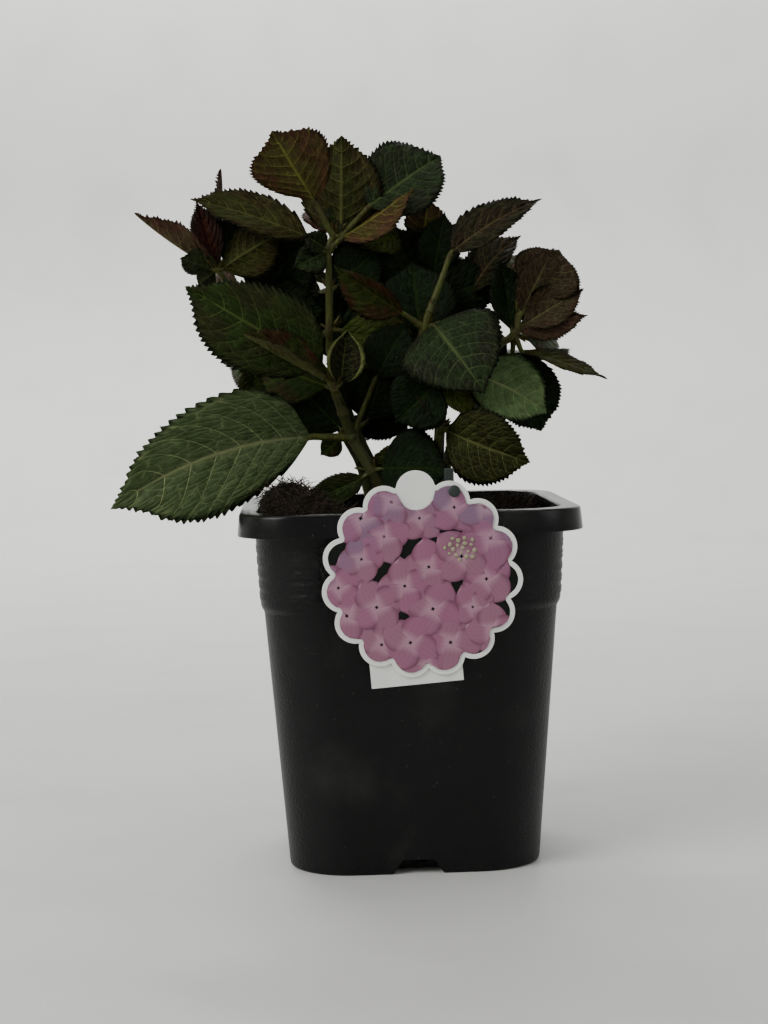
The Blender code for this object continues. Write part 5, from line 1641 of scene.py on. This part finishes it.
class PlantSettings(bpy.types.PropertyGroup):
    bark: colour_setting("Bark", "Colour of the woody stems", (0.034, 0.030, 0.011))
    bark_green: colour_setting("Green bark", "Colour of the younger streaks", (0.026, 0.040, 0.008))
    lenticel: colour_setting("Lenticels", "Colour of the spots on a stem", (0.024, 0.008, 0.006))
    shoot: colour_setting("Shoot", "Colour of shoots and stalks", (0.042, 0.054, 0.008))
    shoot_flush: colour_setting("Shoot flush", "Colour of the sunny side of shoots", (0.030, 0.024, 0.007))
    quilt: amount("Quilting", "How far a blade swells between its veins", 0.00085, 0.0, 0.003, unit="LENGTH")
    teeth: amount("Teeth", "Depth of the teeth on a full-sized leaf", 0.0015, 0.0, 0.004, unit="LENGTH")
    bark_depth: amount("Bark relief", "Depth of the ridges on woody stems", 0.00020, 0.0, 0.001,
                       unit="LENGTH")
    seed: IntProperty(name="Seed", description="Picks the small differences between leaves", default=17)


class StageSettings(bpy.types.PropertyGroup):
    floor: colour_setting("Floor", "Colour of floor and backdrop", (0.52, 0.52, 0.505))
    key: amount("Window", "Power of the large light at the left", 44.0, 0.0, 500.0, unit="POWER")
    fill: amount("Fill", "Power of the light at the right", 12.0, 0.0, 500.0, unit="POWER")
    top: amount("Overhead", "Power of the light above", 14.0, 0.0, 500.0, unit="POWER")
    wall: amount("Backdrop", "Power of the light on the backdrop", 78.0, 0.0, 500.0, unit="POWER")
    ambient: amount("Ambient", "Strength of the light from all round", 0.30, 0.0, 5.0)


class HYDRANGEA_OT_pot(bpy.types.Operator):
    """Mould the square nursery pot"""
    bl_idname = "hydrangea.pot"
    bl_label = "Pot"

    def execute(self, context):
        make_pot(context.scene.hydrangea_pot)
        return {"FINISHED"}


class HYDRANGEA_OT_soil(bpy.types.Operator):
    """Fill the pot with peat, crumbs and fibres"""
    bl_idname = "hydrangea.soil"
    bl_label = "Soil"

    def execute(self, context):
        make_soil(context.scene.hydrangea_soil)
        return {"FINISHED"}


class HYDRANGEA_OT_label(bpy.types.Operator):
    """Cut and print the label, its tab and its peg"""
    bl_idname = "hydrangea.label"
    bl_label = "Label"

    def execute(self, context):
        make_label(context.scene.hydrangea_label)
        return {"FINISHED"}


class HYDRANGEA_OT_plant(bpy.types.Operator):
    """Grow the stems, then the shoots and leaves on them"""
    bl_idname = "hydrangea.plant"
    bl_label = "Plant"

    def execute(self, context):
        garden = Garden(context.scene.hydrangea_plant)
        limbs = {limb.name: limb for limb in LIMBS}
        for limb in LIMBS:
            make_limb(garden, limb)
        singles = []
        for _, limb_name, leaf in STEM_LEAVES:
            limb = limbs[limb_name]
            spot, after = Vector(limb.points[leaf.at]), Vector(limb.points[leaf.at + 1])
            singles.append((leaf, spot, limb.tip, (after - spot).normalized()))
        make_leaves(garden, "single", [name for name, _, _ in STEM_LEAVES], [], singles)
        for mass in MASSES + [back_mass(garden, *shoot) for shoot in BACK_SHOOTS]:
            make_mass(garden, mass, limbs[mass.limb])
        return {"FINISHED"}


class HYDRANGEA_OT_stage(bpy.types.Operator):
    """Set up the floor, the lights and the camera"""
    bl_idname = "hydrangea.stage"
    bl_label = "Stage"

    def execute(self, context):
        make_stage(context.scene.hydrangea_stage)
        return {"FINISHED"}


OPERATORS = (HYDRANGEA_OT_pot, HYDRANGEA_OT_soil, HYDRANGEA_OT_label, HYDRANGEA_OT_plant, HYDRANGEA_OT_stage)
SETTINGS = {"hydrangea_pot": PotSettings, "hydrangea_soil": SoilSettings, "hydrangea_label": LabelSettings,
            "hydrangea_plant": PlantSettings, "hydrangea_stage": StageSettings}


class HYDRANGEA_PT_build(bpy.types.Panel):
    """Each step's button, with its settings below it"""
    bl_label = "Potted hydrangea"
    bl_space_type = "VIEW_3D"
    bl_region_type = "UI"
    bl_category = "Hydrangea"

    def draw(self, context):
        for operator, name in zip(OPERATORS, SETTINGS):
            self.layout.operator(operator.bl_idname)
            box = self.layout.box()
            for label in SETTINGS[name].__annotations__:
                box.prop(getattr(context.scene, name), label)


def register():
    for settings in SETTINGS.values():
        bpy.utils.register_class(settings)
    for operator in OPERATORS:
        bpy.utils.register_class(operator)
    bpy.utils.register_class(HYDRANGEA_PT_build)
    for name, settings in SETTINGS.items():
        setattr(bpy.types.Scene, name, PointerProperty(type=settings))


def unregister():
    for name in SETTINGS:
        delattr(bpy.types.Scene, name)
    for thing in (HYDRANGEA_PT_build, *OPERATORS, *SETTINGS.values()):
        bpy.utils.unregister_class(thing)


def main():
    register()
    for step in ("pot", "soil", "label", "plant", "stage"):
        getattr(bpy.ops.hydrangea, step)()


if __name__ == "__main__":
    main()
